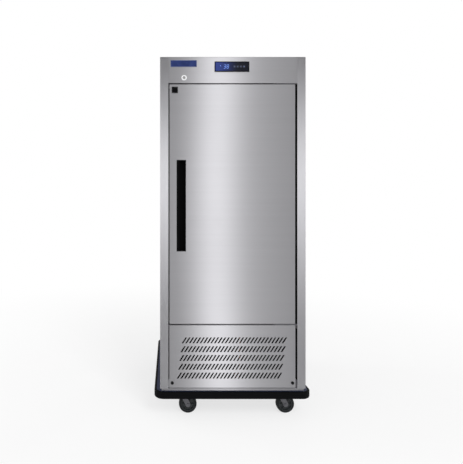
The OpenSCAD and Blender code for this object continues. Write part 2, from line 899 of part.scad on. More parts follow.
// Insulation foam between the outer panels and the liner
module cabinet_foam() {
    wall_x = half_w - sheet;
    color("khaki") difference() {
        union() {
            block([-wall_x, breaker_back + liner_t, ceiling_z], [wall_x, back_y - sheet, roof_z]);
            both_sides()
                block(
                    [opening_x + sheet, front_y + sheet, ceiling_z],
                    [wall_x, breaker_back + liner_t, roof_z]
                );
        }
        cavity(liner_t, over);
        both_sides() {
            block([half_w - flange_w, back_y - 2 * sheet, ceiling_z - over], [half_w, back_y, top_z]);
            block([half_w - flange_w, front_y, roof_z - sheet], [half_w, back_y, top_z]);
        }
        pipe(control_path, harness_d);
        pipe_channels();
        screws(screw_gap);
    }
}

// Inner liner with its front flange
module inner_liner() {
    color("whitesmoke") difference() {
        union() {
            cavity(liner_t, 0);
            block([-opening_x, breaker_back, sill_z], [opening_x, breaker_back + liner_t, header_z]);
        }
        cavity(0, over);
        pipe_channels();
        screws(screw_gap);
    }
}

// Plastic breaker frame that the gasket shuts against
module breaker_frame() {
    color("gainsboro") difference() {
        block([-opening_x, breaker_y, sill_z], [opening_x, breaker_back, header_z]);
        block(
            [-cavity_x, breaker_y - over, cavity_z],
            [cavity_x, breaker_back + over, lintel_z]
        );
    }
}

// One slanted slot, drawn about its middle
module slot_shape() {
    polygon([
        [-slot_w / 2 - slot_lean / 2, -slot_h / 2],
        [slot_w / 2 - slot_lean / 2, -slot_h / 2],
        [slot_w / 2 + slot_lean / 2, slot_h / 2],
        [-slot_w / 2 + slot_lean / 2, slot_h / 2]
    ]);
}

// Louvred panel in front of the machine compartment
module grille_panel() {
    color("silver") difference() {
        block([door_left, front_y, grille_bottom], [door_right, grille_back, grille_top]);
        block(
            [door_left + sheet, front_y + sheet, grille_bottom + sheet],
            [door_right - sheet, grille_back + over, grille_top - sheet]
        );
        translate([door_left + slot_edge, front_y + sheet + over, sill_z - slot_drop])
            rotate([90, 0, 0]) linear_extrude(sheet + 2 * over)
                for (r = [0 : slot_rows - 1]) for (c = [0 : slot_count - 1])
                    translate([c * slot_pitch - r * slot_shift, -r * slot_row_pitch]) slot_shape();
        for (x = grille_screw_x)
            rod_y(x, front_y - over, front_y + sheet + over, grille_screw_z, grille_shank_d);
    }
}

module grille_screws() {
    color("black") for (x = grille_screw_x) difference() {
        union() {
            rod_y(x, front_y - 3, front_y, grille_screw_z, grille_head_d);
            rod_y(x, front_y, grille_back + tab_t + 4, grille_screw_z, grille_shank_d);
        }
        block(
            [x - 5, front_y - 3 - over, grille_screw_z - 0.8],
            [x + 5, front_y - 1.5, grille_screw_z + 0.8]
        );
    }
}

// Upper and lower hinge brackets with their pins
module hinge_brackets() {
    color("dimgray") difference() {
        union() {
            block([hinge_left, hinge_front, hinge_high], [opening_x, hinge_front + hinge_d, header_z]);
            rod_z(hinge_x, hinge_y, hinge_high - pin_l, header_z, pin_d);
            block([hinge_left, hinge_front, sill_z], [opening_x, hinge_front + hinge_d, hinge_low]);
            rod_z(hinge_x, hinge_y, sill_z, hinge_low + collar_t, pin_d + 6);
            rod_z(hinge_x, hinge_y, sill_z, hinge_low + pin_l, pin_d);
        }
        for (x = hinge_screws) {
            rod_z(x, hinge_screw_y, hinge_high - over, hinge_high + screw_head_t, screw_head_d);
            rod_z(x, hinge_screw_y, hinge_low - screw_head_t, hinge_low + over, screw_head_d);
        }
        screws(screw_gap);
    }
}

// Panel, floor, hinge, strip and cover screws, each a solid of its own
module cabinet_screws() {
    color("lightgray") {
        screws(0);
        for (x = hinge_screws) {
            rod_z(x, hinge_screw_y, header_z + sheet, header_z + sheet + 3, screw_head_d);
            rod_z(x, hinge_screw_y, sill_z - sheet - 3, sill_z - sheet, screw_head_d);
        }
    }
}

// Lock barrel with its ring in front and its nut behind the header
module lock_barrel() {
    color("white") difference() {
        union() {
            rod_y(lock_x, front_y - trim_t, front_y, lock_z, ring_d);
            rod_y(lock_x, front_y, front_y + barrel_l, lock_z, barrel_d);
            rod_y(lock_x, front_y + sheet, front_y + sheet + 4, lock_z, barrel_d + 7);
        }
        rod_y(lock_x, front_y - trim_t - over, front_y + barrel_l + over, lock_z, plug_d + 2 * fit);
        rod_y(
            lock_x, front_y - trim_t - over, front_y - trim_t + plug_head_t + 0.6,
            lock_z, plug_d + 2 + 4 * fit
        );
    }
}

// Lock plug with its key slit and the cam behind the barrel
module lock_plug() {
    color("gainsboro") difference() {
        union() {
            rod_y(lock_x, front_y - trim_t + 0.5, cam_y + cam_t, lock_z, plug_d);
            rod_y(lock_x, front_y - trim_t + 0.5, front_y - trim_t + 0.5 + plug_head_t, lock_z, plug_d + 2);
            block(
                [lock_x, cam_y, lock_z - cam_w / 2],
                [lock_x + cam_l, cam_y + cam_t, lock_z + cam_w / 2]
            );
        }
        block(
            [lock_x - 0.8, front_y - trim_t - over, lock_z - 4],
            [lock_x + 0.8, front_y - trim_t + 4, lock_z + 4]
        );
    }
}

// Middle of a key, counted from the left
function key_x(i) = bezel_x + key_start + i * key_pitch;

// Bezel and controller case, hollowed for the window and the keys
module display_bezel() {
    pocket = key_w / 2 + key_flange + key_gap;
    color("black") difference() {
        union() {
            block(
                [bezel_x - bezel_w / 2, front_y - trim_t, bezel_z - bezel_h / 2],
                [bezel_x + bezel_w / 2, front_y, bezel_z + bezel_h / 2]
            );
            block(
                [bezel_x - case_w / 2, front_y - over, bezel_z - case_h / 2],
                [bezel_x + case_w / 2, case_back, bezel_z + case_h / 2]
            );
        }
        block(
            [bezel_x - window_w / 2, front_y - trim_t - over, bezel_z - window_h / 2],
            [bezel_x + window_w / 2, window_back, bezel_z + window_h / 2]
        );
        for (i = [0 : 3])
            block(
                [key_x(i) - pocket, window_back - over, bezel_z - pocket],
                [key_x(i) + pocket, window_back + 1.6 + key_travel + 0.4, bezel_z + pocket]
            );
    }
}

// Glossy window over the digits, cut for the keys
module display_window() {
    hole = key_w / 2 + key_gap;
    color("midnightblue") difference() {
        block(
            [bezel_x - window_w / 2, window_y, bezel_z - window_h / 2],
            [bezel_x + window_w / 2, window_back, bezel_z + window_h / 2]
        );
        for (i = [0 : 3])
            block(
                [key_x(i) - hole, window_y - over, bezel_z - hole],
                [key_x(i) + hole, window_back + over, bezel_z + hole]
            );
    }
}

// A key: a square cap on a wider flange that the window holds back
module touch_key(i) {
    color("dimgray") {
        block(
            [key_x(i) - key_w / 2, window_y - key_proud, bezel_z - key_w / 2],
            [key_x(i) + key_w / 2, window_back + 1.5, bezel_z + key_w / 2]
        );
        block(
            [key_x(i) - key_w / 2 - key_flange, window_back + seat, bezel_z - key_w / 2 - key_flange],
            [key_x(i) + key_w / 2 + key_flange, window_back + 1.5, bezel_z + key_w / 2 + key_flange]
        );
    }
}

module name_plate() {
    color("steelblue") block(
        [-opening_x + plate_edge, front_y - plate_t, top_z - plate_drop - plate_h],
        [-opening_x + plate_edge + plate_w, front_y, top_z - plate_drop]
    );
}

// Four slotted strips that carry the shelf clips
module shelf_strips() {
    color("lightgray") both_sides() for (y = strip_y) difference() {
        block(
            [strip_x, y - strip_w / 2, strip_z],
            [cavity_x, y + strip_w / 2, strip_top]
        );
        for (n = [1 : strip_slots])
            block(
                [strip_x - over, y - strip_slot_w / 2, strip_z + n * strip_pitch],
                [cavity_x + over, y + strip_slot_w / 2, strip_z + n * strip_pitch + strip_slot_h]
            );
        screws(screw_gap);
    }
}

// Shelves hang at slots of the strips, counted from the bottom
function shelf_slot(i) = round((shelf_first - strip_up + i * shelf_pitch) / strip_pitch);
function clip_z(i) = strip_z + shelf_slot(i) * strip_pitch + strip_slot_h;

// Two clips on each strip's side for each shelf, tongue in its slot
module shelf_clips() {
    color("silver") both_sides()
        for (y = strip_y) for (s = [0 : shelf_count - 1]) {
            z = clip_z(s);
            block(
                [strip_x - clip_t, y - strip_slot_w / 2 + 0.5, z - clip_h],
                [strip_x, y + strip_slot_w / 2 - 0.5, z]
            );
            block(
                [strip_x - clip_reach, y - strip_slot_w / 2 + 0.5, z - clip_t],
                [strip_x, y + strip_slot_w / 2 - 0.5, z]
            );
            block(
                [strip_x - clip_t, y - strip_slot_w / 2 + 0.5, z - clip_t - 1],
                [cavity_x - 0.4, y + strip_slot_w / 2 - 0.5, z - 1]
            );
        }
}

// One wire shelf: a rim, two cross bars, and thin wires from front to back
module wire_shelf(z) {
    rim_z = z + shelf_rim_d / 2;
    rim_x = shelf_x - shelf_rim_d / 2;
    span = 2 * rim_x / (shelf_wires + 1);
    y0 = shelf_front + shelf_rim_d / 2;
    y1 = shelf_back - shelf_rim_d / 2;
    $fn = 8;
    for (i = [-1, 1]) rod_y(i * rim_x, shelf_front, shelf_back, rim_z, shelf_rim_d);
    for (t = [0, 1 / 3, 2 / 3, 1]) rod_x(-rim_x, rim_x, y0 + t * (y1 - y0), rim_z, shelf_rim_d - 1);
    for (n = [1 : shelf_wires])
        rod_y(-rim_x + n * span, y0 - 1, y1 + 1, rim_z + shelf_rim_d / 2, shelf_wire_d);
}

module wire_shelves() {
    color("silver") for (s = [0 : shelf_count - 1]) wire_shelf(clip_z(s));
}

// Half-round bend at a coil's end, turned about X to join two of its tubes
module return_bend(x, y, z, gap, d, side, turn) {
    translate([x, y, z]) rotate([turn, 0, 0]) translate([0, 0, gap / 2]) rotate([90, 0, 0])
        rotate([0, 0, -side * 90]) rotate_extrude(angle = 180) translate([gap / 2, 0]) circle(d = d);
}

// Finned coil of level tubes along X with bends outside its end plates
module finned_coil(x0, x1, y0, y1, z0, z1, foot_z, ys, zs, d, fins) {
    plate = 1.5;
    for (i = [0 : fins - 1]) {
        x = x0 + 8 + i * (x1 - x0 - 16 - plate) / (fins - 1);
        block([x, y0 + 2, z0], [x + plate, y1 - 2, z1]);
    }
    for (x = [x0, x1 - plate]) block([x, y0, foot_z], [x + plate, y1, z1 + 2]);
    for (y = ys) {
        for (z = zs) rod_x(x0 - 3, x1 + 3, y, z, d);
        for (i = [0 : len(zs) - 2])
            if (i % 2 == 0) return_bend(x0 - 3, y, zs[i], zs[i + 1] - zs[i], d, -1, 0);
            else return_bend(x1 + 3, y, zs[i], zs[i + 1] - zs[i], d, 1, 0);
    }
    return_bend(x1 + 3, ys[0], zs[len(zs) - 1], ys[1] - ys[0], d, 1, -90);
}

// Evaporator coil, hung from the cavity's ceiling by its end plates
module evaporator_coil() {
    x = evap_w / 2;
    color("lightsteelblue") {
        finned_coil(
            -x, x, evap_front, evap_back, evap_z, evap_z + evap_h, evap_z - 2,
            evap_tube_y, evap_tube_z, line_d, 20
        );
        for (x0 = [-x, x - 1.5])
            block([x0, evap_front, evap_z + evap_h], [x0 + 1.5, evap_back, cavity_top]);
        rod_y(suction_x, evap_tube_y[1], evap_back + 3, evap_tube_z[1], suction_d);
        rod_y(capillary_x, evap_tube_y[1], evap_back + 3, evap_tube_z[2], capillary_d);
    }
}

// Cover and drip tray round the cooling unit, open at the back
module evaporator_cover() {
    x = cover_w / 2;
    color("gainsboro") difference() {
        union() {
            difference() {
                block([-x, cover_front, cover_z], [x, cover_back, cavity_top]);
                block(
                    [-x + sheet, cover_front + sheet, cover_z + sheet],
                    [x - sheet, cover_back + over, cavity_top + over]
                );
            }
            both_sides()
                block([x - sheet, cover_front, cavity_top - sheet], [x + 14, cover_back, cavity_top]);
            block([-x, cover_back - sheet, cover_z], [x, cover_back, cover_z + 12]);
        }
        for (i = [-9 : 9]) for (z = [cover_z + 44, cover_z + 94])
            block([i * 23 - 8, cover_front - over, z], [i * 23 + 8, cover_front + sheet + over, z + 34]);
        rod_z(0, evap_fan_y, cover_z - over, cover_z + sheet + over, evap_fan_d + 14);
        rod_z(drain_x, cover_back - 14, cover_z - over, cover_z + sheet + over, drain_d - 2 * drain_t);
        screws(screw_gap);
    }
}

// Fan along Z with pitched blades round a bored hub
module fan(d, hub_d, hub_h, blades) {
    difference() {
        union() {
            cylinder(d = hub_d, h = hub_h);
            intersection() {
                for (i = [0 : blades - 1]) rotate([0, 0, i * 360 / blades])
                    translate([hub_d / 2 - 4, 0, hub_h / 2]) rotate([32, 0, 0])
                        translate([0, -d / 7, -1]) cube([d / 2, d / 3.5, 2]);
                cylinder(d = d, h = hub_h);
            }
        }
        translate([0, 0, -over]) cylinder(d = shaft_d + 2 * fit, h = hub_h + 2 * over);
    }
}

module evaporator_fan() {
    color("dimgray") translate([0, evap_fan_y, evap_fan_z]) fan(evap_fan_d, 50, fan_hub_h, 5);
}

module condenser_fan() {
    color("dimgray") translate([cond_x, cond_fan_y, cond_z]) rotate([-90, 0, 0])
        fan(cond_fan_d, 56, fan_hub_h, 5);
}

// Both fan motors with their shafts and the collars that keep the fans on
module fan_motors() {
    color("slategray") {
        rod_z(0, evap_fan_y, cavity_top - evap_motor_h, cavity_top, evap_motor_d);
        rod_z(0, evap_fan_y, evap_fan_z + fan_hub_h + 0.2, cavity_top - evap_motor_h, shaft_d + 6);
        rod_z(0, evap_fan_y, evap_shaft_z, cavity_top - evap_motor_h, shaft_d);
        rod_z(0, evap_fan_y, evap_shaft_z, evap_fan_z - 0.2, shaft_d + 8);
        rod_y(cond_x, cond_motor_y, cond_motor_y + cond_motor_l, cond_z, cond_motor_d);
        rod_y(cond_x, cond_fan_y + fan_hub_h + 0.2, cond_motor_y, cond_z, shaft_d + 6);
        rod_y(cond_x, cond_fan_y - 4, cond_motor_y, cond_z, shaft_d);
        rod_y(cond_x, cond_fan_y - 4, cond_fan_y - 0.2, cond_z, shaft_d + 8);
        block(
            [cond_x - 25, cond_motor_y + 22, body_z],
            [cond_x + 25, cond_motor_y + 26, cond_z]
        );
        block(
            [cond_x - 25, cond_motor_y + 6, body_z],
            [cond_x + 25, cond_motor_y + 54, body_z + 2]
        );
        rod_x(cond_x, cond_x + cond_motor_d / 2 + 6, motor_run_y, cond_z, harness_d + 6);
    }
}

// Hollow drain from the drip tray down to the condensate pan
module drain_tube() {
    last = len(drain_path) - 1;
    bore = [
        for (i = [0 : last])
            i == 0 ? drain_path[0] + [0, 0, over]
            : i == last ? drain_path[last] - [0, 0, over]
            : drain_path[i]
    ];
    color("white") difference() {
        pipe(drain_path, drain_d);
        pipe(bore, drain_d - 2 * drain_t);
    }
}

// Lamp under the cover's front edge
module interior_lamp() {
    y = cover_front + 6;
    color("white") difference() {
        block([-lamp_w / 2, y, cover_z - 18], [lamp_w / 2, y + 18, cover_z]);
        block([-lamp_w / 2 + 2, y + 2, cover_z - 16], [lamp_w / 2 - 2, y + 16, cover_z - 2]);
    }
}

// Compressor can on its base plate, standing on four rubber grommets
module compressor() {
    r = comp_d / 2;
    cap = 40;
    color("black") difference() {
        translate([comp_x, comp_y, 0]) {
            translate([0, 0, comp_z]) rotate_extrude() intersection() {
                union() {
                    square([r - 14, comp_h]);
                    translate([0, 14]) square([r, comp_h - cap - 14]);
                    translate([r - 14, 14]) circle(14);
                    translate([r - cap, comp_h - cap]) circle(cap);
                }
                square([r, comp_h]);
            }
            block([-r, -r, comp_z - 3], [r, r, comp_z]);
            for (y = [12 - r, r + 10]) rod_y(0, y - 22, y, stub_z, suction_d + 2);
            block([r - 12, -24, inlet_z - 26], [r + 12, 24, inlet_z + 26]);
        }
        compressor_studs(comp_z - 3 - over, comp_z + 4, stud_d + 2 * screw_gap);
        compressor_studs(comp_z, comp_z + 10, stud_d + 9);
    }
    color("dimgray") difference() {
        compressor_studs(body_z, comp_z - 3 - seat, grommet_d);
        compressor_studs(body_z - over, comp_z, stud_d + 2 * screw_gap);
    }
}

// Condenser coil behind the grille, standing on its end plates
module condenser_coil() {
    color("lightslategray") finned_coil(
        cond_left, cond_right, cond_front, cond_back, body_z + 18, cond_top, body_z,
        cond_tube_y, cond_tube_z, line_d, 24
    );
}

// Shroud that guides the condenser fan's air
module condenser_shroud() {
    wall = 2;
    color("dimgray") difference() {
        union() {
            difference() {
                block([cond_left, cond_back, body_z], [cond_right, shroud_back, cond_top + 2]);
                block(
                    [cond_left + wall, cond_back - over, body_z + wall],
                    [cond_right - wall, shroud_back - wall, cond_top + 2 - wall]
                );
            }
            rod_y(cond_x, shroud_back - 14, shroud_back + 12, cond_z, cond_fan_d + 12);
        }
        rod_y(cond_x, shroud_back - 14 - over, shroud_back + 12 + over, cond_z, cond_fan_d + 6);
    }
}

// Copper lines between compressor, coils and drier
module refrigerant_lines() {
    color("peru") {
        pipe(discharge_path, line_d);
        pipe(liquid_path, line_d);
        pipe(capillary_path, capillary_d);
        pipe(suction_path, suction_d);
        rod_z(pipe_x, drier_y, drier_z, drier_top, drier_d);
    }
}

// Shallow pan that catches the condensate
module condensate_pan() {
    wall = 2;
    x0 = -drip_x - drip_w;
    y0 = drip_back - drip_d;
    color("dimgray") difference() {
        block([x0, y0, body_z], [-drip_x, drip_back, body_z + drip_h]);
        block(
            [x0 + wall, y0 + wall, body_z + wall],
            [-drip_x - wall, drip_back - wall, body_z + drip_h + over]
        );
    }
}

// Electrical box with a screwed lid on its front
module electrical_box() {
    x0 = ebox_x;
    x1 = ebox_x + ebox_w;
    y0 = ebox_front;
    y1 = ebox_front + ebox_d;
    z1 = body_z + ebox_h;
    color("darkgray") {
        difference() {
            block([x0, y0, body_z], [x1, y1, z1]);
            block([x0 + 2, y0 - over, body_z + 2], [x1 - 2, y1 - 2, z1 - 2]);
        }
        block([x0, y0 - 2, body_z], [x1, y0, z1]);
        for (x = [x0 + 10, x1 - 10]) for (z = [body_z + 10, z1 - 10])
            rod_y(x, y0 - 4, y0 - 2, z, 7);
    }
}

// Mains inlet with three flat pins, open to the back
module power_inlet() {
    w = inlet_w / 2;
    h = inlet_h / 2;
    y0 = back_y - inlet_d;
    color("black") {
        difference() {
            union() {
                block(
                    [inlet_x - w - inlet_t, y0 - 4, inlet_z - h - inlet_t],
                    [inlet_x + w + inlet_t, back_y, inlet_z + h + inlet_t]
                );
                block(
                    [inlet_x - w - 12, back_y, inlet_z - h - 4],
                    [inlet_x + w + 12, back_y + 3, inlet_z + h + 4]
                );
            }
            block([inlet_x - w, y0, inlet_z - h], [inlet_x + w, back_y + 3 + over, inlet_z + h]);
        }
        for (p = [[-7, -1], [0, 3], [7, -1]])
            block(
                [inlet_x + p[0] - 1, y0 - 1, inlet_z + p[1] - 2],
                [inlet_x + p[0] + 1, back_y - 3, inlet_z + p[1] + 2]
            );
    }
}

// Wiring from the inlet to the box, motor, compressor and controller
module wiring_harness() {
    color("black") {
        pipe(control_path, harness_d);
        pipe(inlet_path, harness_d);
        pipe(terminal_path, harness_d);
        pipe(motor_path, harness_d);
    }
}

// Upright prism on a rectangle with round corners
module rounded_block(x, y, r, z0, z1) {
    translate([0, 0, z0]) linear_extrude(z1 - z0) union() {
        square([2 * x, 2 * (y - r)], center = true);
        square([2 * (x - r), 2 * y], center = true);
        for (i = [-1, 1]) for (j = [-1, 1]) translate([i * (x - r), j * (y - r)]) circle(r);
    }
}

// Base frame: a channel ring with its flanges and four corner gussets
module base_frame() {
    w = frame_x;
    d = frame_y;
    color("navy") difference() {
        union() {
            difference() {
                rounded_block(w, d, frame_r, frame_z, deck_z);
                rounded_block(
                    w - frame_t, d - frame_t, frame_r - frame_t,
                    frame_z + frame_t, deck_z - frame_t
                );
                rounded_block(
                    w - frame_low_w, d - frame_low_w, frame_r - frame_low_w,
                    frame_z - over, frame_z + frame_t + over
                );
                block(
                    [-w + frame_top_w, -d + frame_top_w, deck_z - frame_t - over],
                    [w - frame_top_w, d - frame_top_w, deck_z + over]
                );
            }
            intersection() {
                corners(w - gusset_w / 2, d - gusset_d / 2)
                    translate([0, 0, caster_h + gusset_t / 2])
                        cube([gusset_w, gusset_d, gusset_t], center = true);
                rounded_block(w, d, frame_r, caster_h, caster_h + gusset_t);
            }
        }
        corners(kingpin_x, kingpin_y) caster_bolt_places()
            cylinder(d = caster_bolt_d + 2 * screw_gap, h = gusset_t + 2 * over);
        frame_bolts(deck_z - frame_t - over, deck_z + over, frame_bolt_d + 2 * screw_gap);
    }
}

// Copies at the four bolt holes of a caster plate, just under the gusset
module caster_bolt_places() {
    corners(bolt_dx, bolt_dy) translate([0, 0, caster_h - over]) children();
}

// Straight run of the bumper's chamfered profile, and its corners
module bumper_profile() {
    c = bumper_chamfer;
    polygon([
        [0, 0], [bumper_t - c, 0], [bumper_t, c], [bumper_t, frame_h - c],
        [bumper_t - c, frame_h], [0, frame_h]
    ]);
}

// Rubber bumper all round the base frame
module bumper() {
    x = frame_x - frame_r;
    y = frame_y - frame_r;
    color("black") both_sides() for (j = [0, 1]) mirror([0, j, 0]) {
        translate([x, y, frame_z]) rotate_extrude(angle = 90) translate([frame_r, 0]) bumper_profile();
        translate([frame_x, y, frame_z]) rotate([90, 0, 0]) linear_extrude(y) bumper_profile();
        translate([0, frame_y, frame_z]) rotate([90, 0, 90]) linear_extrude(x) bumper_profile();
    }
}

// Caster plates with their races and kingpins
module caster_plates() {
    color("silver") corners(kingpin_x, kingpin_y) difference() {
        union() {
            translate([0, 0, caster_h - caster_plate_t / 2])
                cube([caster_plate_w, caster_plate_d, caster_plate_t], center = true);
            translate([0, 0, race_z]) cylinder(d = race_d, h = race_h);
            translate([0, 0, crown_z - 3]) cylinder(d = kingpin_d, h = crown_t + 6);
            translate([0, 0, crown_z - 4 - race_gap]) cylinder(d = kingpin_d + 8, h = 4);
        }
        corners(bolt_dx, bolt_dy) translate([0, 0, caster_h - caster_plate_t - over])
            cylinder(d = caster_bolt_d + 2 * screw_gap, h = caster_plate_t + 2 * over);
    }
}

// Upright cylinders at the four bolts between the plinth and the base frame
module frame_bolts(z0, z1, d) {
    corners(frame_bolt_x, frame_bolt_y) rod_z(0, 0, z0, z1, d);
}

// Studs and grommets at the compressor's four feet
module compressor_studs(z0, z1, d) {
    translate([comp_x, comp_y, 0]) corners(comp_d / 2 - 8, comp_d / 2 - 8) rod_z(0, 0, z0, z1, d);
}

// Bolts with their heads and nuts: casters, plinth and compressor
module base_bolts() {
    head = 5;
    plate_z = caster_h - caster_plate_t;
    foot_z = deck_z + sheet;
    pan_z = body_z - sheet;
    color("lightgray") {
        corners(kingpin_x, kingpin_y) corners(bolt_dx, bolt_dy) {
            rod_z(0, 0, plate_z - head, plate_z, caster_bolt_d + 5, $fn = 6);
            rod_z(0, 0, plate_z - over, caster_h + gusset_t + 6, caster_bolt_d);
            rod_z(0, 0, caster_h + gusset_t, caster_h + gusset_t + head, caster_bolt_d + 5, $fn = 6);
        }
        frame_bolts(deck_z - frame_t - head, deck_z - frame_t, frame_bolt_d + 5, $fn = 6);
        frame_bolts(deck_z - frame_t - over, foot_z + 6, frame_bolt_d);
        frame_bolts(foot_z, foot_z + head, frame_bolt_d + 5, $fn = 6);
        compressor_studs(pan_z - 4, pan_z, stud_d + 6);
        compressor_studs(pan_z - over, comp_z + 8, stud_d);
        compressor_studs(comp_z, comp_z + 4, stud_d + 8);
    }
}

// Copies the next shape at a caster: left or right, front or rear
module at_caster(side, end) {
    translate([side * kingpin_x, end * kingpin_y, 0]) children();
}

// Caster fork with its riveted axle, trailing towards +X
module caster_fork(side, end) {
    outer = fork_gap / 2 + leg_t;
    color("gray") at_caster(side, end) {
        difference() {
            union() {
                translate([0, 0, crown_z]) cylinder(d = crown_d, h = crown_t);
                for (i = [0, 1]) mirror([0, i, 0])
                    translate([0, outer, 0]) rotate([90, 0, 0]) linear_extrude(leg_t) {
                        polygon([
                            [-16, crown_z + crown_t], [16, crown_z + crown_t],
                            [trail + 13, wheel_z + 4], [trail + 13, wheel_z], [trail - 13, wheel_z]
                        ]);
                        translate([trail, wheel_z]) circle(13);
                    }
            }
            translate([0, 0, crown_z - over]) cylinder(d = kingpin_d + 2 * fit, h = crown_t + 2 * over);
            rod_y(trail, -outer - over, outer + over, wheel_z, axle_d + 2 * fit);
        }
        rod_y(trail, -outer - seat, outer + seat, wheel_z, axle_d);
        rod_y(trail, -outer - 3, -outer - seat, wheel_z, axle_d + 6);
        rod_y(trail, outer + seat, outer + 3, wheel_z, axle_d + 6);
    }
}

// Caster wheel: tyre, web and hub turned as one about the axle
module caster_wheel(side, end) {
    r = wheel_d / 2;
    w = wheel_w / 2;
    color("darkslategray") at_caster(side, end) translate([trail, 0, wheel_z])
        rotate([-90, 0, 0]) rotate_extrude() polygon([
            [axle_d / 2 + fit, -hub_w / 2], [axle_d / 2 + 7, -hub_w / 2], [axle_d / 2 + 7, -7],
            [r - 14, -5], [r - 12, -w], [r - 3, -w], [r, -w + 6],
            [r, w - 6], [r - 3, w], [r - 12, w], [r - 14, 5],
            [axle_d / 2 + 7, 7], [axle_d / 2 + 7, hub_w / 2], [axle_d / 2 + fit, hub_w / 2]
        ]);
}

// Cut through the door front for the handle cup
module handle_cut(grow, y0, y1) {
    block(
        [handle_left + handle_rim_w - grow, y0, handle_low + handle_rim_w - grow],
        [handle_right - handle_rim_w + grow, y1, handle_high - handle_rim_w + grow]
    );
}

// Cuts that the door's skin and foam share
module door_cuts() {
    rod_z(hinge_x, hinge_y, door_bottom - over, door_bottom + bush_l, bush_d);
    rod_z(hinge_x, hinge_y, door_top - bush_l, door_top + over, bush_d);
    cam_slot(lock_z - cam_l - 2, door_top + 0.01);
    handle_cut(0, front_y - over, front_y + handle_d);
}

// Block over the door's outline, drawn in by a wall
module door_block(wall, y0, y1) {
    block([door_left + wall, y0, door_bottom + wall], [door_right - wall, y1, door_top - wall]);
}

// Stainless outer skin of the door
module door_skin() {
    color("silver") difference() {
        door_block(0, front_y, skin_back);
        door_block(sheet, front_y + sheet, skin_back + over);
        door_cuts();
    }
}

// Plastic pan that closes the door's back
module door_pan() {
    color("gainsboro") difference() {
        door_block(0, skin_back, door_back);
        door_block(pan_t, skin_back - over, door_back - pan_t);
    }
}

module door_foam() {
    color("khaki") difference() {
        union() {
            door_block(sheet, front_y + sheet, skin_back);
            door_block(pan_t, skin_back - over, door_back - pan_t);
        }
        door_cuts();
    }
}

// Magnetic gasket: a root on the pan and a wider sealing face
module door_gasket() {
    root_in = gasket_inset + (gasket_w - gasket_root) / 2;
    color("dimgray") difference() {
        union() {
            door_block(root_in, door_back, gasket_back);
            door_block(gasket_inset, door_back + gasket_t / 3, gasket_back);
        }
        door_block(root_in + gasket_root, door_back - over, door_back + gasket_t / 3);
        door_block(gasket_inset + gasket_w, door_back - over, gasket_back + over);
    }
}

// Recessed handle: rim, cup, and a lip on the free side
module door_handle() {
    color("black") {
        difference() {
            union() {
                handle_cut(handle_rim_w, front_y - handle_rim_t, front_y);
                handle_cut(0, front_y - handle_rim_t, front_y + handle_d);
            }
            handle_cut(-handle_t, front_y - handle_rim_t - over, front_y + handle_d - handle_t);
        }
        block(
            [handle_left + handle_rim_w, front_y - handle_rim_t, handle_low + handle_rim_w],
            [handle_left + handle_rim_w + grip_w, front_y - handle_rim_t + grip_t, handle_high - handle_rim_w]
        );
    }
}

module door_badge() {
    color("black") block(
        [door_left + badge_edge, front_y - 2 * plate_t, door_top - badge_drop - badge_w],
        [door_left + badge_edge + badge_w, front_y, door_top - badge_drop]
    );
}

// Bushes that turn on the hinge pins
module hinge_bushes() {
    color("white") difference() {
        union() {
            rod_z(hinge_x, hinge_y, door_bottom, door_bottom + bush_l, bush_d);
            rod_z(hinge_x, hinge_y, door_top - bush_l, door_top, bush_d);
        }
        rod_z(hinge_x, hinge_y, door_bottom - over, door_bottom + bush_l - 1, pin_d + 2 * fit);
        rod_z(hinge_x, hinge_y, door_top - bush_l + 1, door_top + over, pin_d + 2 * fit);
    }
}

left_side_panel();
right_side_panel();
back_panel();
top_panel();
header_panel();
base_pan();
sill_panel();
cabinet_foam();
inner_liner();
breaker_frame();
grille_panel();
grille_screws();
hinge_brackets();
cabinet_screws();
lock_barrel();
lock_plug();
display_bezel();
display_window();
touch_key(0);  // key_set
touch_key(1);  // key_up
touch_key(2);  // key_down
touch_key(3);  // key_light
name_plate();
shelf_strips();
shelf_clips();
wire_shelves();
evaporator_coil();
evaporator_cover();
evaporator_fan();
fan_motors();
drain_tube();
interior_lamp();
compressor();
condenser_coil();
condenser_shroud();
condenser_fan();
refrigerant_lines();
condensate_pan();
electrical_box();
power_inlet();
wiring_harness();
base_frame();
bumper();
caster_plates();
base_bolts();
caster_fork(-1, -1);  // fork_front_left
caster_fork(1, -1);  // fork_front_right
caster_fork(-1, 1);  // fork_rear_left
caster_fork(1, 1);  // fork_rear_right
caster_wheel(-1, -1);  // wheel_front_left
caster_wheel(1, -1);  // wheel_front_right
caster_wheel(-1, 1);  // wheel_rear_left
caster_wheel(1, 1);  // wheel_rear_right
door_skin();
door_pan();
door_foam();
door_gasket();
door_handle();
door_badge();
hinge_bushes();
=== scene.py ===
import json
import math

import bmesh
import bpy
from mathutils import Matrix, Vector


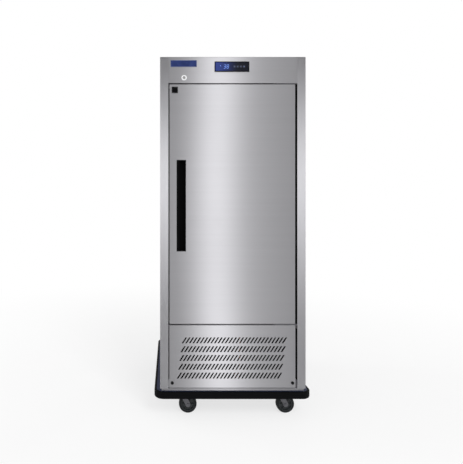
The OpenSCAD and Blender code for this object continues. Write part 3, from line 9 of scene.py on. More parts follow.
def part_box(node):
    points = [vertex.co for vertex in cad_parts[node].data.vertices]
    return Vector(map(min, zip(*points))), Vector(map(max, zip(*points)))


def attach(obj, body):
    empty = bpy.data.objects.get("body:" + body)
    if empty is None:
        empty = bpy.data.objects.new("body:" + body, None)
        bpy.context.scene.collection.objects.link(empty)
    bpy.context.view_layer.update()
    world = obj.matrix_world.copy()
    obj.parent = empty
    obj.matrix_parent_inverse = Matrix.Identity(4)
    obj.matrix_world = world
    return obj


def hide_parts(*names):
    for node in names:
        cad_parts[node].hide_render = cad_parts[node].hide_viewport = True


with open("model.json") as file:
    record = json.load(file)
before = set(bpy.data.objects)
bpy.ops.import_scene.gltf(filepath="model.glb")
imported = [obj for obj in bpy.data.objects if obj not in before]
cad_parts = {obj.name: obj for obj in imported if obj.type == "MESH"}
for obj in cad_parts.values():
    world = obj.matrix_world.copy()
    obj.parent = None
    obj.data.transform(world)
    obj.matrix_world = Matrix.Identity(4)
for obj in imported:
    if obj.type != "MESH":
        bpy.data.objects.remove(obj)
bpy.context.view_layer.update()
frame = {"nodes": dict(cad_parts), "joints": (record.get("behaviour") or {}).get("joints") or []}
scene = bpy.context.scene
nodes = frame["nodes"]


# Camera. A wide lens stands 1.8 m in front of the door and a little to its left. It looks
# level, so the cabinet's uprights stay parallel.
camera = bpy.data.objects.new("camera", bpy.data.cameras.new("camera"))
scene.collection.objects.link(camera)
camera.location = (-0.328, -2.212, 1.003)
camera.rotation_euler = (math.radians(90), 0, 0)
camera.data.lens = 27.7
camera.data.shift_x = 0.1366
camera.data.shift_y = -0.0203
scene.camera = camera


# White room. The background is plain white, and shiny surfaces see the room's walls in its
# place: bright upright strips, one level strip just above the horizon, and a paler ceiling.
# Matt surfaces get a little less light from it.
class Signal:
    """A socket of a node tree. Arithmetic on it adds the Math nodes that carry it out."""

    def __init__(self, tree, socket=None):
        self.tree = tree
        self.socket = socket

    def node(self, kind, settings=None, inputs=None, output=0):
        """Adds a node, sets it up, fills its sockets and gives one of its outputs."""
        made = self.tree.nodes.new("ShaderNode" + kind)
        for name, value in (settings or {}).items():
            setattr(made, name, value)
        for name, value in (inputs or {}).items():
            if isinstance(value, Signal):
                self.tree.links.new(value.socket, made.inputs[name])
            else:
                made.inputs[name].default_value = value
        return Signal(self.tree, made.outputs[output] if len(made.outputs) else None)

    def math(self, operation, *terms):
        return self.node("Math", {"operation": operation}, dict(enumerate(terms)))

    def blend(self, low, high):
        """The colour that this signal picks between low and high."""
        low, high = (c if isinstance(c, Signal) else (*c, 1) for c in (low, high))
        return self.node("Mix", {"data_type": "RGBA"}, {0: self, 6: low, 7: high}, 2)

    def step(self, low, high, start=0.0, end=1.0):
        """Runs smoothly from start to end while the signal goes from low to high."""
        sockets = {
            "Value": self, "From Min": low, "From Max": high, "To Min": start, "To Max": end,
        }
        return self.node("MapRange", {"interpolation_type": "SMOOTHSTEP"}, sockets)

    def __add__(self, other):
        return self.math("ADD", self, other)

    def __sub__(self, other):
        return self.math("SUBTRACT", self, other)

    def __rsub__(self, other):
        return self.math("SUBTRACT", other, self)

    def __mul__(self, other):
        return self.math("MULTIPLY", self, other)

    __radd__ = __add__
    __rmul__ = __mul__


def parts_of(vector):
    """The X, Y and Z of a vector signal."""
    return [vector.node("SeparateXYZ", None, {0: vector}, axis) for axis in range(3)]


scene.world = bpy.data.worlds.new("white_room")
scene.world.use_nodes = True
scene.world.cycles.sampling_method = "NONE"
scene.world.node_tree.nodes.clear()
room = Signal(scene.world.node_tree)
east, _, up = parts_of(room.node("TexCoord"))
heading = east.math("ARCSINE", east) * (180 / math.pi)
rise = up.math("ARCSINE", up) * (180 / math.pi)
half_gap, strip_at, haze_at, level_at = 22.5, 7.5, 14.5, 7.3
from_strip = heading.math("PINGPONG", heading - strip_at, half_gap)
from_haze = heading.math("PINGPONG", heading - haze_at, half_gap)
strip_glow = 1.63 * from_strip.step(0, 4.3, 1, 0)
haze_glow = 0.16 * from_haze.step(0, 7, 1, 0)
level_glow = 0.84 * (rise.step(-18, level_at) * rise.step(level_at, 26, 1, 0))
floor_glow = 0.15 * rise.step(-14, 0, 1, 0)
ceiling_glow = 0.24 * rise.step(32, 58)
walls = 0.1 + strip_glow + haze_glow + level_glow + floor_glow + ceiling_glow
in_gloss = room.node("LightPath", output="Is Glossy Ray")
in_diffuse = room.node("LightPath", output="Is Diffuse Ray")
glow = {"Color": (1, 1, 1, 1), "Strength": 1 + in_gloss * (walls - 1) - 0.35 * in_diffuse}
room.node("OutputWorld", None, {"Surface": room.node("Background", None, glow)})


# Studio lamps. One large soft box in front and above, a weaker one at the left and one
# behind. Steel doesn't mirror them.
def soft_box(name, place, target, width, watts):
    """Adds a square lamp that faces a target and shows in no reflection."""
    data = bpy.data.lights.new(name, "AREA")
    data.shape = "SQUARE"
    data.size = width
    data.energy = watts
    lamp = bpy.data.objects.new(name, data)
    lamp.location = place
    lamp.rotation_euler = (Vector(target) - Vector(place)).to_track_quat("-Z", "Y").to_euler()
    lamp.visible_glossy = False
    lamp.visible_camera = False
    scene.collection.objects.link(lamp)


soft_box("front_lamp", (1.2, -3.4, 3.2), (0, 0, 0.9), 1.6, 60)
soft_box("left_lamp", (-3.2, 0.6, 2.4), (0, 0, 0.8), 1.4, 25)
soft_box("back_lamp", (2.2, 3.2, 2.6), (0, 0, 0.8), 1.4, 30)


# Studio floor, a wide pale sheet. It glows by itself, most of all far off, so that it runs
# white into the room's walls, and near the object it still takes a soft shadow.
def start_material(name):
    """An empty material and its Object coordinates."""
    made = bpy.data.materials.new(name)
    made.use_nodes = True
    made.node_tree.nodes.clear()
    return made, Signal(made.node_tree).node("TexCoord", output="Object")


def link_piece(mesh, name, finish):
    """Turns a bmesh into an object at the origin with one material, smooth but for its edges.

    The normals of large faces weigh most, so flat sheet stays flat up to its rounded folds.
    """
    data = bpy.data.meshes.new(name)
    mesh.to_mesh(data)
    mesh.free()
    data.shade_smooth()
    data.set_sharp_from_angle(angle=math.radians(32))
    data.materials.append(finish)
    made = bpy.data.objects.new(name, data)
    scene.collection.objects.link(made)
    weighted = made.modifiers.new("flat_faces", "WEIGHTED_NORMAL")
    weighted.keep_sharp = True
    weighted.weight = 100
    graph = bpy.context.evaluated_depsgraph_get()
    made.data = bpy.data.meshes.new_from_object(
        made.evaluated_get(graph), preserve_all_data_layers=True, depsgraph=graph
    )
    made.modifiers.clear()
    return made


floor_finish, on_floor = start_material("pale_floor")
fibre = on_floor.node("TexNoise", None, {"Vector": on_floor, "Scale": 3.0, "Detail": 4.0})
matt = {"Color": fibre.blend((0.88, 0.88, 0.88), (0.92, 0.92, 0.92)), "Roughness": 0.9}
far_off = on_floor.node("VectorMath", {"operation": "LENGTH"}, {0: on_floor}, 1)
shader = on_floor.node(
    "MixShader", None,
    {
        0: far_off.step(0.6, 4, 0.7, 1),
        1: on_floor.node("BsdfDiffuse", None, matt),
        2: on_floor.node("Emission"),
    },
)
on_floor.node("OutputMaterial", None, {"Surface": shader})
floor_mesh = bmesh.new()
bmesh.ops.create_grid(floor_mesh, x_segments=8, y_segments=8, size=25)
floor = link_piece(floor_mesh, "floor", floor_finish)
floor.visible_glossy = False


# Side panels. Stainless sheet with an upright brushed grain, folded round the stiles
# and into the door recess; the folds have a radius of 2 mm.
def noise(place, scale, detail=2.0):
    """Soft noise on a place, with its own scale along X, Y and Z."""
    there = place.node("Mapping", None, {"Vector": place, "Scale": scale})
    return place.node("TexNoise", None, {"Vector": there, "Scale": 1.0, "Detail": detail})


def finish_material(made, sockets, relief=None, depth=0.0):
    """Ends a material in a Principled shader, with a relief of some depth in metres."""
    tree = Signal(made.node_tree)
    if relief is not None:
        sockets["Normal"] = tree.node("Bump", None, {"Height": relief, "Distance": depth})
    tree.node("OutputMaterial", None, {"Surface": tree.node("BsdfPrincipled", None, sockets)})
    return made


def brushed_steel(name, fine, quarter, tone, roughness, axis="Z"):
    """Brushed stainless steel, fine across its grain, which is laid round an axis."""
    made, place = start_material(name)
    strands = noise(place, fine, 3.0)
    bands = noise(place, [s * 0.04 + 0.6 for s in fine], 2.0)
    marks = noise(place, (3.1, 3.1, 2.3), 4.0)
    dark, pale = ([c * k for c in tone] for k in (0.98, 1.02))
    return finish_material(
        made,
        {
            "Base Color": (0.6 * strands + 0.4 * bands).step(0.3, 0.7).blend(dark, pale),
            "Metallic": 1.0,
            "Roughness": roughness + 0.03 * (strands - 0.5) + 0.03 * (marks - 0.5),
            "Anisotropic": 1.0,
            "Anisotropic Rotation": quarter,
            "Tangent": place.node("Tangent", {"direction_type": "RADIAL", "axis": axis}),
        },
        strands,
        0.00002,
    )


upright_steel = brushed_steel("upright_steel", (900, 900, 4), 0.0, (0.681, 0.676, 0.704), 0.33)


# Points closer than the first are made one, and edges shorter than the second are closed.
MERGED, SLIVER = 0.00001, 0.000005


def rounded(mesh, edges, radius, segments=3):
    """Bevels edges of a mesh to a radius."""
    bmesh.ops.bevel(
        mesh, geom=edges, offset=radius, offset_type="OFFSET", affect="EDGES",
        segments=segments, profile=0.5, material=-1, clamp_overlap=True,
    )


def softened(node, radius, wide, bend):
    """A copy of a CAD node's mesh, merged, whose outer folds have a radius.

    A fold is an edge that bends by more than some degrees between faces of some width.
    """
    mesh = bmesh.new()
    mesh.from_mesh(nodes[node].data)
    bmesh.ops.remove_doubles(mesh, verts=mesh.verts, dist=MERGED)
    bmesh.ops.dissolve_limit(
        mesh, angle_limit=math.radians(1), verts=mesh.verts, edges=mesh.edges
    )
    folds = [
        e
        for e in mesh.edges
        if len(e.link_faces) == 2
        and e.calc_face_angle_signed() > math.radians(bend)
        and min(f.calc_area() for f in e.link_faces) > wide * e.calc_length()
    ]
    rounded(mesh, folds, radius)
    bmesh.ops.dissolve_degenerate(mesh, dist=SLIVER, edges=mesh.edges)
    return mesh


def fit(mesh, name, body, finish, stands_for=None):
    """Makes a piece that rides on a body and may stand for a CAD node."""
    made = link_piece(mesh, name, finish)
    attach(made, body)
    if stands_for:
        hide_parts(stands_for)


def dress(node, name, body, finish, radius, wide=0.001, bend=45):
    """Stands a CAD node's own form in for it, with a radius on its folds."""
    fit(softened(node, radius, wide, bend), name, body, finish, node)


# A face of a sheet that is narrower than this is its cut edge, and stays sharp.
SHEET_WIDE = 0.004
for side in ("left", "right"):
    dress(
        side + "_side_panel", side + "_side_sheet", "cabinet", upright_steel,
        0.002, SHEET_WIDE,
    )


# Header, back and top of the cabinet. The header's grain runs level like the door's; the
# back, which is riveted on, and the welded top are the same sheet with a coarser finish.
# Painted shade: this level-grained steel's tone is set darker than the upright steel's, though
# both are the same stainless sheet.
level_steel = brushed_steel("level_steel", (4, 900, 900), 0.25, (0.63, 0.625, 0.651), 0.33)
plain_steel = brushed_steel("plain_steel", (300, 300, 5), 0.0, (0.6, 0.605, 0.62), 0.42)
dress("header_panel", "header_sheet", "cabinet", level_steel, 0.0015, SHEET_WIDE)
dress("back_panel", "back_sheet", "cabinet", plain_steel, 0.0015)
lid_steel = brushed_steel("lid_steel", (300, 5, 300), 0.0, (0.6, 0.605, 0.62), 0.42, axis="X")
dress("top_panel", "top_sheet", "cabinet", lid_steel, 0.0005)


# Door sill and floor pan. Folded stainless sheet; the pan's skirt is the thin plinth
# above the base.
for node in ("sill_panel", "base_pan"):
    dress(node, node + "_sheet", "cabinet", level_steel, 0.0015, SHEET_WIDE)


# Machine compartment grille. A removable stainless panel with rows of slanted punched
# slots; two black domed screws hold it.
def moulded(name, tone, roughness, grain=1400, depth=0.00003, coat=0.0, shine=0.4):
    """Moulded plastic or rubber: an even colour with a fine grained skin."""
    made, place = start_material(name)
    clouds = noise(place, (7, 7, 7), 3.0)
    skin = noise(place, (grain, grain, grain), 2.0)
    dark, pale = ([c * k for c in tone] for k in (0.97, 1.03))
    sockets = {
        "Base Color": clouds.step(0.3, 0.7).blend(dark, pale),
        "Roughness": roughness + 0.12 * (skin - 0.5) + 0.1 * (clouds - 0.5),
        "Specular IOR Level": shine,
        "Coat Weight": coat,
        "Coat Roughness": 0.06,
    }
    return finish_material(made, sockets, skin, depth)


dress("grille_panel", "grille_sheet", "cabinet", level_steel, 0.0015, SHEET_WIDE)
screw_black = moulded("screw_black", (0.01, 0.01, 0.011), 0.38, shine=0.2)
dress("grille_screws", "grille_screw_heads", "cabinet", screw_black, 0.0013)


# Door skin. One stainless sheet folded back on all four sides, with a radius of 3 mm at
# its edges and openings for the handle's cup and the lock's cam.
dress("door_skin", "door_sheet", "door", level_steel, 0.003, SHEET_WIDE)


# Door inner panel. Vacuum-formed white plastic, with a raised field whose walls have
# round corners inside the gasket.
def slab(mesh, low, high):
    """Adds a block between two corners and gives its vertices."""
    middle = [(a + b) / 2 for a, b in zip(low, high)]
    size = [b - a for a, b in zip(low, high)]
    place = Matrix.Translation(middle) @ Matrix.Diagonal((*size, 1))
    return bmesh.ops.create_cube(mesh, size=1, matrix=place)["verts"]


liner_plastic = moulded(
    "liner_plastic", (0.8, 0.81, 0.81), 0.32, grain=900, depth=0.00002, coat=0.3
)
field_margin, wall_run, field_rise, field_radius = 0.046, 0.008, 0.006, 0.003
low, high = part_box("door_pan")
inner_panel = bmesh.new()
slab(inner_panel, low, high)
field = max(inner_panel.faces, key=lambda f: f.normal.y)
bmesh.ops.inset_region(inner_panel, faces=[field], thickness=field_margin)
bmesh.ops.inset_region(inner_panel, faces=[field], thickness=wall_run, depth=field_rise)
field_walls = [
    f for f in inner_panel.faces
    if abs(f.normal.y) < 0.9 and f.calc_center_median().y > high[1]
]
rise_edges = {e for v in field.verts for e in v.link_edges}
rise_edges |= {e for f in field_walls for e in f.edges}
rounded(inner_panel, list(rise_edges), field_radius)
fit(inner_panel, "door_inner_panel", "door", liner_plastic, "door_pan")


# Door gasket. An extruded vinyl bellows with a magnet strip in its face, welded at
# mitred corners and pressed into the inner panel.
def framed(mesh, section, low, high):
    """Adds a mitred frame in the XZ plane, whose section is a list of (inset, y) points."""
    rings = []
    for at_left, at_foot in ((1, 1), (0, 1), (0, 0), (1, 0)):
        x, step_x = (low[0], 1) if at_left else (high[0], -1)
        z, step_z = (low[2], 1) if at_foot else (high[2], -1)
        points = [(x + step_x * inset, y, z + step_z * inset) for inset, y in section]
        ring = [mesh.verts.new(point) for point in points]
        rings.append([mesh.edges.new((ring[i - 1], ring[i])) for i in range(len(ring))])
    for k in range(4):
        bmesh.ops.bridge_loops(mesh, edges=rings[k - 1] + rings[k])
    bmesh.ops.recalc_face_normals(mesh, faces=mesh.faces)


vinyl = moulded("gasket_vinyl", (0.09, 0.09, 0.095), 0.55, grain=600)
seal_low, seal_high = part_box("door_gasket")
seal_root, seal_face = seal_low[1], seal_high[1]
seal_width = 0.018
bellows = [
    (0.004, seal_root), (0.0033, seal_root + 0.0015), (0.0062, seal_root + 0.0035),
    (0.0005, seal_root + 0.006), (0, seal_face - 0.001), (0.001, seal_face),
]
bellows += [(seal_width - inset, y) for inset, y in reversed(bellows)]
gasket = bmesh.new()
framed(gasket, bellows, seal_low, seal_high)
fit(gasket, "gasket_bellows", "door", vinyl, "door_gasket")


# Handle. A black moulded cup let into the door, with a raised rim and a finger lip on
# its free side.
handle_black = moulded("handle_black", (0.002, 0.002, 0.0022), 0.5, grain=1600, shine=0.04)
dress("door_handle", "handle_cup", "door", handle_black, 0.0007)


# Display bezel. One glossy black moulding that carries the controller's window and keys,
# snapped into the header.
gloss_black = moulded(
    "gloss_black", (0.005, 0.005, 0.007), 0.16, grain=500, depth=0.000004, shine=0.12
)
dress("display_bezel", "display_surround", "cabinet", gloss_black, 0.0009)


# Display window. Tinted clear plastic, lit blue from behind at its left end, with two
# glowing digits and a small running mark.
def refinish(finish, *names):
    """Gives CAD nodes that stay a better material."""
    for name in names:
        nodes[name].data.materials.clear()
        nodes[name].data.materials.append(finish)


tinted, on_window = start_material("tinted_window")
window_x = parts_of(on_window)[0]
glow_from, glow_to = -0.095, 0.03
uneven = 0.75 + 0.5 * noise(on_window, (18, 18, 40))
lit = window_x.step(glow_from, glow_to, 1, 0) * uneven
refinish(
    finish_material(
        tinted,
        {
            "Base Color": lit.blend((0.008, 0.009, 0.015), (0.018, 0.03, 0.12)),
            "Roughness": 0.1 + 0.04 * noise(on_window, (60, 60, 60)),
            "Specular IOR Level": 0.14,
            "Emission Color": lit.blend((0, 0, 0), (0.01, 0.018, 0.1)),
            "Emission Strength": 1.0,
        },
    ),
    "display_window",
)


MARK_THICK = 0.0001


def plaque(mesh, outline, front):
    """Adds a thin raised mark on a front, from (x, z) points."""
    corners = [mesh.verts.new((x, front, z)) for x, z in outline]
    face = mesh.faces.new(corners)
    raised = bmesh.ops.extrude_face_region(mesh, geom=[face])["geom"]
    moved = [v for v in raised if isinstance(v, bmesh.types.BMVert)]
    bmesh.ops.translate(mesh, verts=moved, vec=(0, -MARK_THICK, 0))
    bmesh.ops.recalc_face_normals(mesh, faces=mesh.faces)


def glowing(name, tone, strength):
    """A lit plastic mark, a little brighter in its middle parts."""
    made, place = start_material(name)
    glow = noise(place, (300, 300, 300)).step(0.2, 0.8, 0.85, 1)
    sockets = {
        "Base Color": glow.blend((0, 0, 0), [c * 0.6 for c in tone]),
        "Roughness": 0.3 + 0.1 * glow,
        "Emission Color": glow.blend((0, 0, 0), tone),
        "Emission Strength": strength,
    }
    return finish_material(made, sockets)


# Each segment of a digit: its steps across and up from the middle, and whether it is upright.
SEGMENTS = {
    "a": (0, 2, 0), "b": (1, 1, 1), "c": (1, -1, 1), "d": (0, -2, 0), "e": (-1, -1, 1),
    "f": (-1, 1, 1), "g": (0, 0, 0),
}
BAR = [
    (-0.0041, 0), (-0.0032, 0.0009), (0.0032, 0.0009), (0.0041, 0), (0.0032, -0.0009),
    (-0.0032, -0.0009),
]
SEGMENT_STEP, DIGIT_SLANT = 0.0046, 0.12
window_low, window_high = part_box("display_window")
window_front = window_low[1]
window_z = (window_low[2] + window_high[2]) / 2
digits = bmesh.new()
for digit_x, segments in ((-0.0415, "abcdg"), (-0.0265, "abcdefg")):
    for segment in segments:
        across, along, upright = SEGMENTS[segment]
        outline = []
        for a, b in BAR:
            dx, dz = (b, a) if upright else (a, b)
            dx, dz = dx + SEGMENT_STEP * across, dz + SEGMENT_STEP * along
            outline.append((digit_x + dx + DIGIT_SLANT * dz, window_z + dz))
        plaque(digits, outline, window_front)
star_x, star_z = -0.063, window_z + 0.004
arm_l, arm_w, arm_step = 0.0032, 0.0004, 0.00002
for arm in range(3):
    slope = Matrix.Rotation(math.radians(60 * arm), 2)
    corners = [(-arm_l, -arm_w), (arm_l, -arm_w), (arm_l, arm_w), (-arm_l, arm_w)]
    outline = [(star_x + x, star_z + z) for x, z in (slope @ Vector(c) for c in corners)]
    plaque(digits, outline, window_front - arm_step * arm)
digit_blue = glowing("digit_blue", (0.16, 0.28, 0.78), 1.0)
fit(digits, "display_digits", "cabinet", digit_blue)


# Touch keys. Four square plastic keys behind the window's holes, each with a plain
# moulded symbol: set, up, down and lamp.
key_plastic = moulded("key_plastic", (0.03, 0.034, 0.05), 0.35, grain=1200)
symbol_blue = glowing("symbol_blue", (0.1, 0.14, 0.3), 0.5)
# Every symbol is a plain shape: its number of sides, and how far it is turned.
symbol_r = 0.0026
key_symbols = {"key_set": (4, 45), "key_up": (3, 90), "key_down": (3, -90), "key_light": (12, 0)}
for node, (sides, turn) in key_symbols.items():
    refinish(key_plastic, node)
    low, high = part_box(node)
    middle_x = (low[0] + high[0]) / 2
    turns = [math.radians(turn + 360 * k / sides) for k in range(sides)]
    outline = [
        (middle_x + symbol_r * math.cos(t), window_z + symbol_r * math.sin(t)) for t in turns
    ]
    symbol = bmesh.new()
    plaque(symbol, outline, low[1])
    fit(symbol, node + "_symbol", node, symbol_blue)


# Name plate and door badge. Printed plates glued to the steel, both bare but for a thin
# pale border.
def bordered(name, node, tone, line, roughness):
    """Printed plate with a border line from 1.5 to 1.9 mm inside its edge."""
    made, place = start_material(name)
    low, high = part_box(node)
    x, _, z = parts_of(place)
    edges = [x - low[0], high[0] - x, z - low[2], high[2] - z]
    nearest = edges[0]
    for edge in edges[1:]:
        nearest = nearest.math("MINIMUM", nearest, edge)
    on_line = nearest.step(0.0012, 0.0015) * nearest.step(0.0019, 0.0022, 1, 0)
    cloud = noise(place, (40, 40, 60), 2.0)
    dark, pale = ([c * k for c in tone] for k in (0.8, 1.2))
    sockets = {
        "Base Color": on_line.blend(cloud.step(0.3, 0.7).blend(dark, pale), line),
        "Roughness": roughness + 0.08 * (cloud - 0.5),
        "Specular IOR Level": 0.07,
    }
    return finish_material(made, sockets, noise(place, (900, 900, 900)), 0.000005)


plate_print = bordered(
    "plate_print", "name_plate", (0.024, 0.038, 0.13), (0.26, 0.3, 0.46), 0.3
)
dress("name_plate", "blank_name_plate", "cabinet", plate_print, 0.0004, 0.0005)
badge_print = bordered(
    "badge_print", "door_badge", (0.003, 0.003, 0.0035), (0.12, 0.12, 0.125), 0.2
)
dress("door_badge", "blank_door_badge", "door", badge_print, 0.0006, 0.0005)


# Cam lock. A nickel-plated plug with a keyway turns in a barrel with a white moulded ring,
# let into the header. The plug's tail carries the cam that bars the door.
def plated(name, tone, roughness, grain=(60, 60, 60)):
    """Bright plated metal with faint haze."""
    made, place = start_material(name)
    haze = noise(place, grain, 3.0)
    dark, pale = ([c * k for c in tone] for k in (0.93, 1.04))
    sockets = {
        "Base Color": haze.blend(dark, pale),
        "Metallic": 1.0,
        "Roughness": roughness + 0.1 * haze,
    }
    return finish_material(made, sockets, noise(place, [g * 12 for g in grain]), 0.000004)


def joint_point(name):
    """The point that a joint turns about."""
    return next(joint["pos_m"] for joint in frame["joints"] if joint["name"] == name)


ring_white = moulded("ring_white", (0.84, 0.85, 0.86), 0.3, grain=700, depth=0.00001, coat=0.3)
dress("lock_barrel", "lock_ring", "cabinet", ring_white, 0.0011, 0.0008)
refinish(plated("plug_nickel", (0.6, 0.6, 0.6), 0.22), "lock_plug")
plug_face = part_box("lock_plug")[0][1]
lock_x, _, lock_z = joint_point("lock_turn")
slot_w, slot_h = 0.0008, 0.0035
keyway = bmesh.new()
slab(
    keyway, (lock_x - slot_w, plug_face - MARK_THICK, lock_z - slot_h),
    (lock_x + slot_w, plug_face, lock_z + slot_h),
)
fit(keyway, "lock_keyway", "lock_plug", screw_black)


# Hinges. Plated steel brackets on the header and sill carry the pins that white acetal
# bushes in the door turn on.
def spangled(name, tone, roughness, cell=160):
    """Plated or drawn metal, whose crystals reflect a little differently."""
    made, place = start_material(name)
    crystals = place.node("TexVoronoi", None, {"Vector": place, "Scale": cell}, "Color")
    facet = parts_of(crystals)[0]
    stain = noise(place, (9, 9, 9), 4.0)
    dark, pale = ([c * k for c in tone] for k in (0.84, 1.08))
    sockets = {
        "Base Color": (0.5 * facet + 0.5 * stain).blend(dark, pale),
        "Metallic": 1.0,
        "Roughness": roughness + 0.12 * (facet - 0.5) + 0.1 * (stain - 0.5),
    }
    return finish_material(made, sockets, stain, 0.00005)


dark_zinc_and_shade = spangled("dark_plating", (0.2, 0.2, 0.215), 0.4)
dress("hinge_brackets", "hinge_plates", "cabinet", dark_zinc_and_shade, 0.0008)
white_acetal = moulded("white_acetal", (0.72, 0.72, 0.7), 0.4)
refinish(white_acetal, "hinge_bushes", "drain_tube")


# Breaker frame. A grey plastic extrusion between the outer steel and the liner, which
# the gasket's magnet face meets.
breaker_plastic = moulded("breaker_plastic", (0.3, 0.305, 0.315), 0.45)
dress("breaker_frame", "breaker_rails", "cabinet", breaker_plastic, 0.001)


# Recess linings. Near-black vinyl corner profiles where the stiles meet the breaker frame, and
# plain strips beside the grille; their darkness is painted shade in these gaps. The hinge
# side's profile reaches to the front, and is the painted shade of the dark line beside the shut
# door.
def upright_profile(mesh, outline, low_z, high_z):
    """Adds a profile that stands upright, from its (x, y) corners."""
    foot = mesh.faces.new([mesh.verts.new((x, y, low_z)) for x, y in outline])
    risen = bmesh.ops.extrude_face_region(mesh, geom=[foot])["geom"]
    head = [v for v in risen if isinstance(v, bmesh.types.BMVert)]
    bmesh.ops.translate(mesh, verts=head, vec=(0, 0, high_z - low_z))
    bmesh.ops.recalc_face_normals(mesh, faces=mesh.faces)


# Painted shade: the near-black vinyl stands in for the shade deep in the gaps beside the door and
# grille.
lining_vinyl = moulded("lining_vinyl", (0.006, 0.006, 0.007), 0.6, grain=600, shine=0.1)
lining_t, lining_foot, short_leg, strip_depth = 0.0008, 0.014, 0.012, 0.03
set_back, end_gap = 0.0025, 0.0005
lining_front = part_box("header_panel")[0][1] + set_back
breaker_low, breaker_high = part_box("breaker_frame")
door_low, door_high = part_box("door_skin")
strip_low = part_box("base_pan")[1][2] + end_gap
strip_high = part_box("sill_panel")[0][2] - end_gap
strip_back = lining_front + strip_depth
corner_y = breaker_low[1]
linings = bmesh.new()
for wall, inward, leg_front in (
    (breaker_low[0], 1, corner_y - short_leg),
    (breaker_high[0], -1, lining_front),
):
    face = wall + inward * lining_t
    toe = wall + inward * lining_foot
    upright_profile(
        linings,
        [
            (wall, leg_front), (wall, corner_y), (toe, corner_y), (toe, corner_y - lining_t),
            (face, corner_y - lining_t), (face, leg_front),
        ],
        door_low[2] + end_gap, door_high[2] - end_gap,
    )
    upright_profile(
        linings,
        [(wall, lining_front), (wall, strip_back), (face, strip_back), (face, lining_front)],
        strip_low, strip_high,
    )
fit(linings, "recess_linings", "cabinet", lining_vinyl)


# Inner liner. One white plastic shell, vacuum-formed with coved corners so that it can
# be wiped out.
liner_t, cove, flange_w, near = 0.001, 0.012, 0.036, 0.0001
(_, liner_front, _), (_, liner_back, liner_top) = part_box("inner_liner")
cavity_back, cavity_top = liner_back - liner_t, liner_top - liner_t
cavity_x, cavity_z = 0.283, 0.521
lintel_y, lintel_z = -0.2855, 1.672
side_view = [
    (liner_front, cavity_z), (cavity_back, cavity_z), (cavity_back, cavity_top),
    (lintel_y, cavity_top), (lintel_y, lintel_z), (liner_front, lintel_z),
]
liner = bmesh.new()
liner_side = liner.faces.new([liner.verts.new((-cavity_x, y, z)) for y, z in side_view])
pulled = bmesh.ops.extrude_face_region(liner, geom=[liner_side])["geom"]
far_side = [v for v in pulled if isinstance(v, bmesh.types.BMVert)]
bmesh.ops.translate(liner, verts=far_side, vec=(2 * cavity_x, 0, 0))
bmesh.ops.recalc_face_normals(liner, faces=liner.faces)
mouth = [f for f in liner.faces if all(abs(v.co.y - liner_front) < near for v in f.verts)]
bmesh.ops.delete(liner, geom=mouth, context="FACES_ONLY")
lintel_edge = [
    e for e in liner.edges
    if all(abs(v.co.y - lintel_y) + abs(v.co.z - lintel_z) < near for v in e.verts)
]
coves = [e for e in liner.edges if len(e.link_faces) == 2 and e not in lintel_edge]
rounded(liner, coves, cove, 4)
bmesh.ops.recalc_face_normals(liner, faces=liner.faces)
bmesh.ops.solidify(liner, geom=liner.faces, thickness=-liner_t)
flange = [(0, 0), (0, liner_t), (-flange_w, liner_t), (-flange_w, 0)]
framed(
    liner, [(inset, liner_front + back) for inset, back in flange],
    (-cavity_x, 0, cavity_z), (cavity_x, 0, lintel_z),
)
fit(liner, "coved_liner", "cabinet", liner_plastic, "inner_liner")


# Shelves. Welded wire shelves, chromed, rest on clips that hook into four slotted strips
# of zinc-plated steel. The cabinet's screws, caster plates and bolts have the same zinc.
zinc = spangled("zinc_plating", (0.56, 0.565, 0.575), 0.42)
refinish(zinc, "shelf_strips", "shelf_clips", "cabinet_screws", "caster_plates", "base_bolts")
shelf_chrome = plated("shelf_chrome", (0.78, 0.79, 0.8), 0.16, grain=(30, 30, 30))
refinish(shelf_chrome, "wire_shelves")


# Cooling unit in the ceiling. A stucco aluminium cover hides the finned coil; a fan
# blows down through a wire guard.
stucco, on_cover = start_material("stucco_aluminium")
dimples = on_cover.node(
    "TexVoronoi", {"feature": "SMOOTH_F1"}, {"Vector": on_cover, "Scale": 260.0}
)
cover_cloud = noise(on_cover, (6, 6, 6), 3.0)
finish_material(
    stucco,
    {
        "Base Color": cover_cloud.blend((0.62, 0.63, 0.64), (0.72, 0.73, 0.74)),
        "Metallic": 1.0,
        "Roughness": 0.36 + 0.1 * cover_cloud,
    },
    dimples, 0.0005,
)
dress("evaporator_cover", "cooler_cover", "cabinet", stucco, 0.001)


def turned(mesh, outline, place, steps=48):
    """Spins a closed outline of (radius, height) points once round a place's upright axis."""
    ring = [mesh.verts.new(place @ Vector((radius, 0, height))) for radius, height in outline]
    edges = [mesh.edges.new((ring[i - 1], ring[i])) for i in range(len(ring))]
    bmesh.ops.spin(
        mesh, geom=ring + edges, axis=place.to_3x3() @ Vector((0, 0, 1)),
        cent=place.translation, angle=math.tau, steps=steps, use_merge=True,
    )
    bmesh.ops.recalc_face_normals(mesh, faces=mesh.faces)


wire_r, wire_sides, guard_gap = 0.0011, 8, 0.0002
ring_radii = (0.02, 0.044, 0.068, 0.092, 0.107)
guard = bmesh.new()
cooler_x, cooler_y, _ = joint_point("evaporator_fan_spin")
guard_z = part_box("evaporator_cover")[0][2] - wire_r - guard_gap
guard_place = Matrix.Translation((cooler_x, cooler_y, guard_z))
turns = [math.tau * k / wire_sides for k in range(wire_sides)]
for ring_r in ring_radii:
    wire = [(ring_r + wire_r * math.cos(t), wire_r * math.sin(t)) for t in turns]
    turned(guard, wire, guard_place)
lying = Matrix.Rotation(math.radians(90), 4, "X")
for spoke in range(3):
    swung = Matrix.Rotation(math.radians(60 * spoke), 4, "Z")
    bmesh.ops.create_cone(
        guard, cap_ends=True, segments=wire_sides, radius1=wire_r, radius2=wire_r,
        depth=2 * ring_radii[-1], matrix=guard_place @ swung @ lying,
    )
fit(guard, "fan_guard", "cabinet", shelf_chrome)


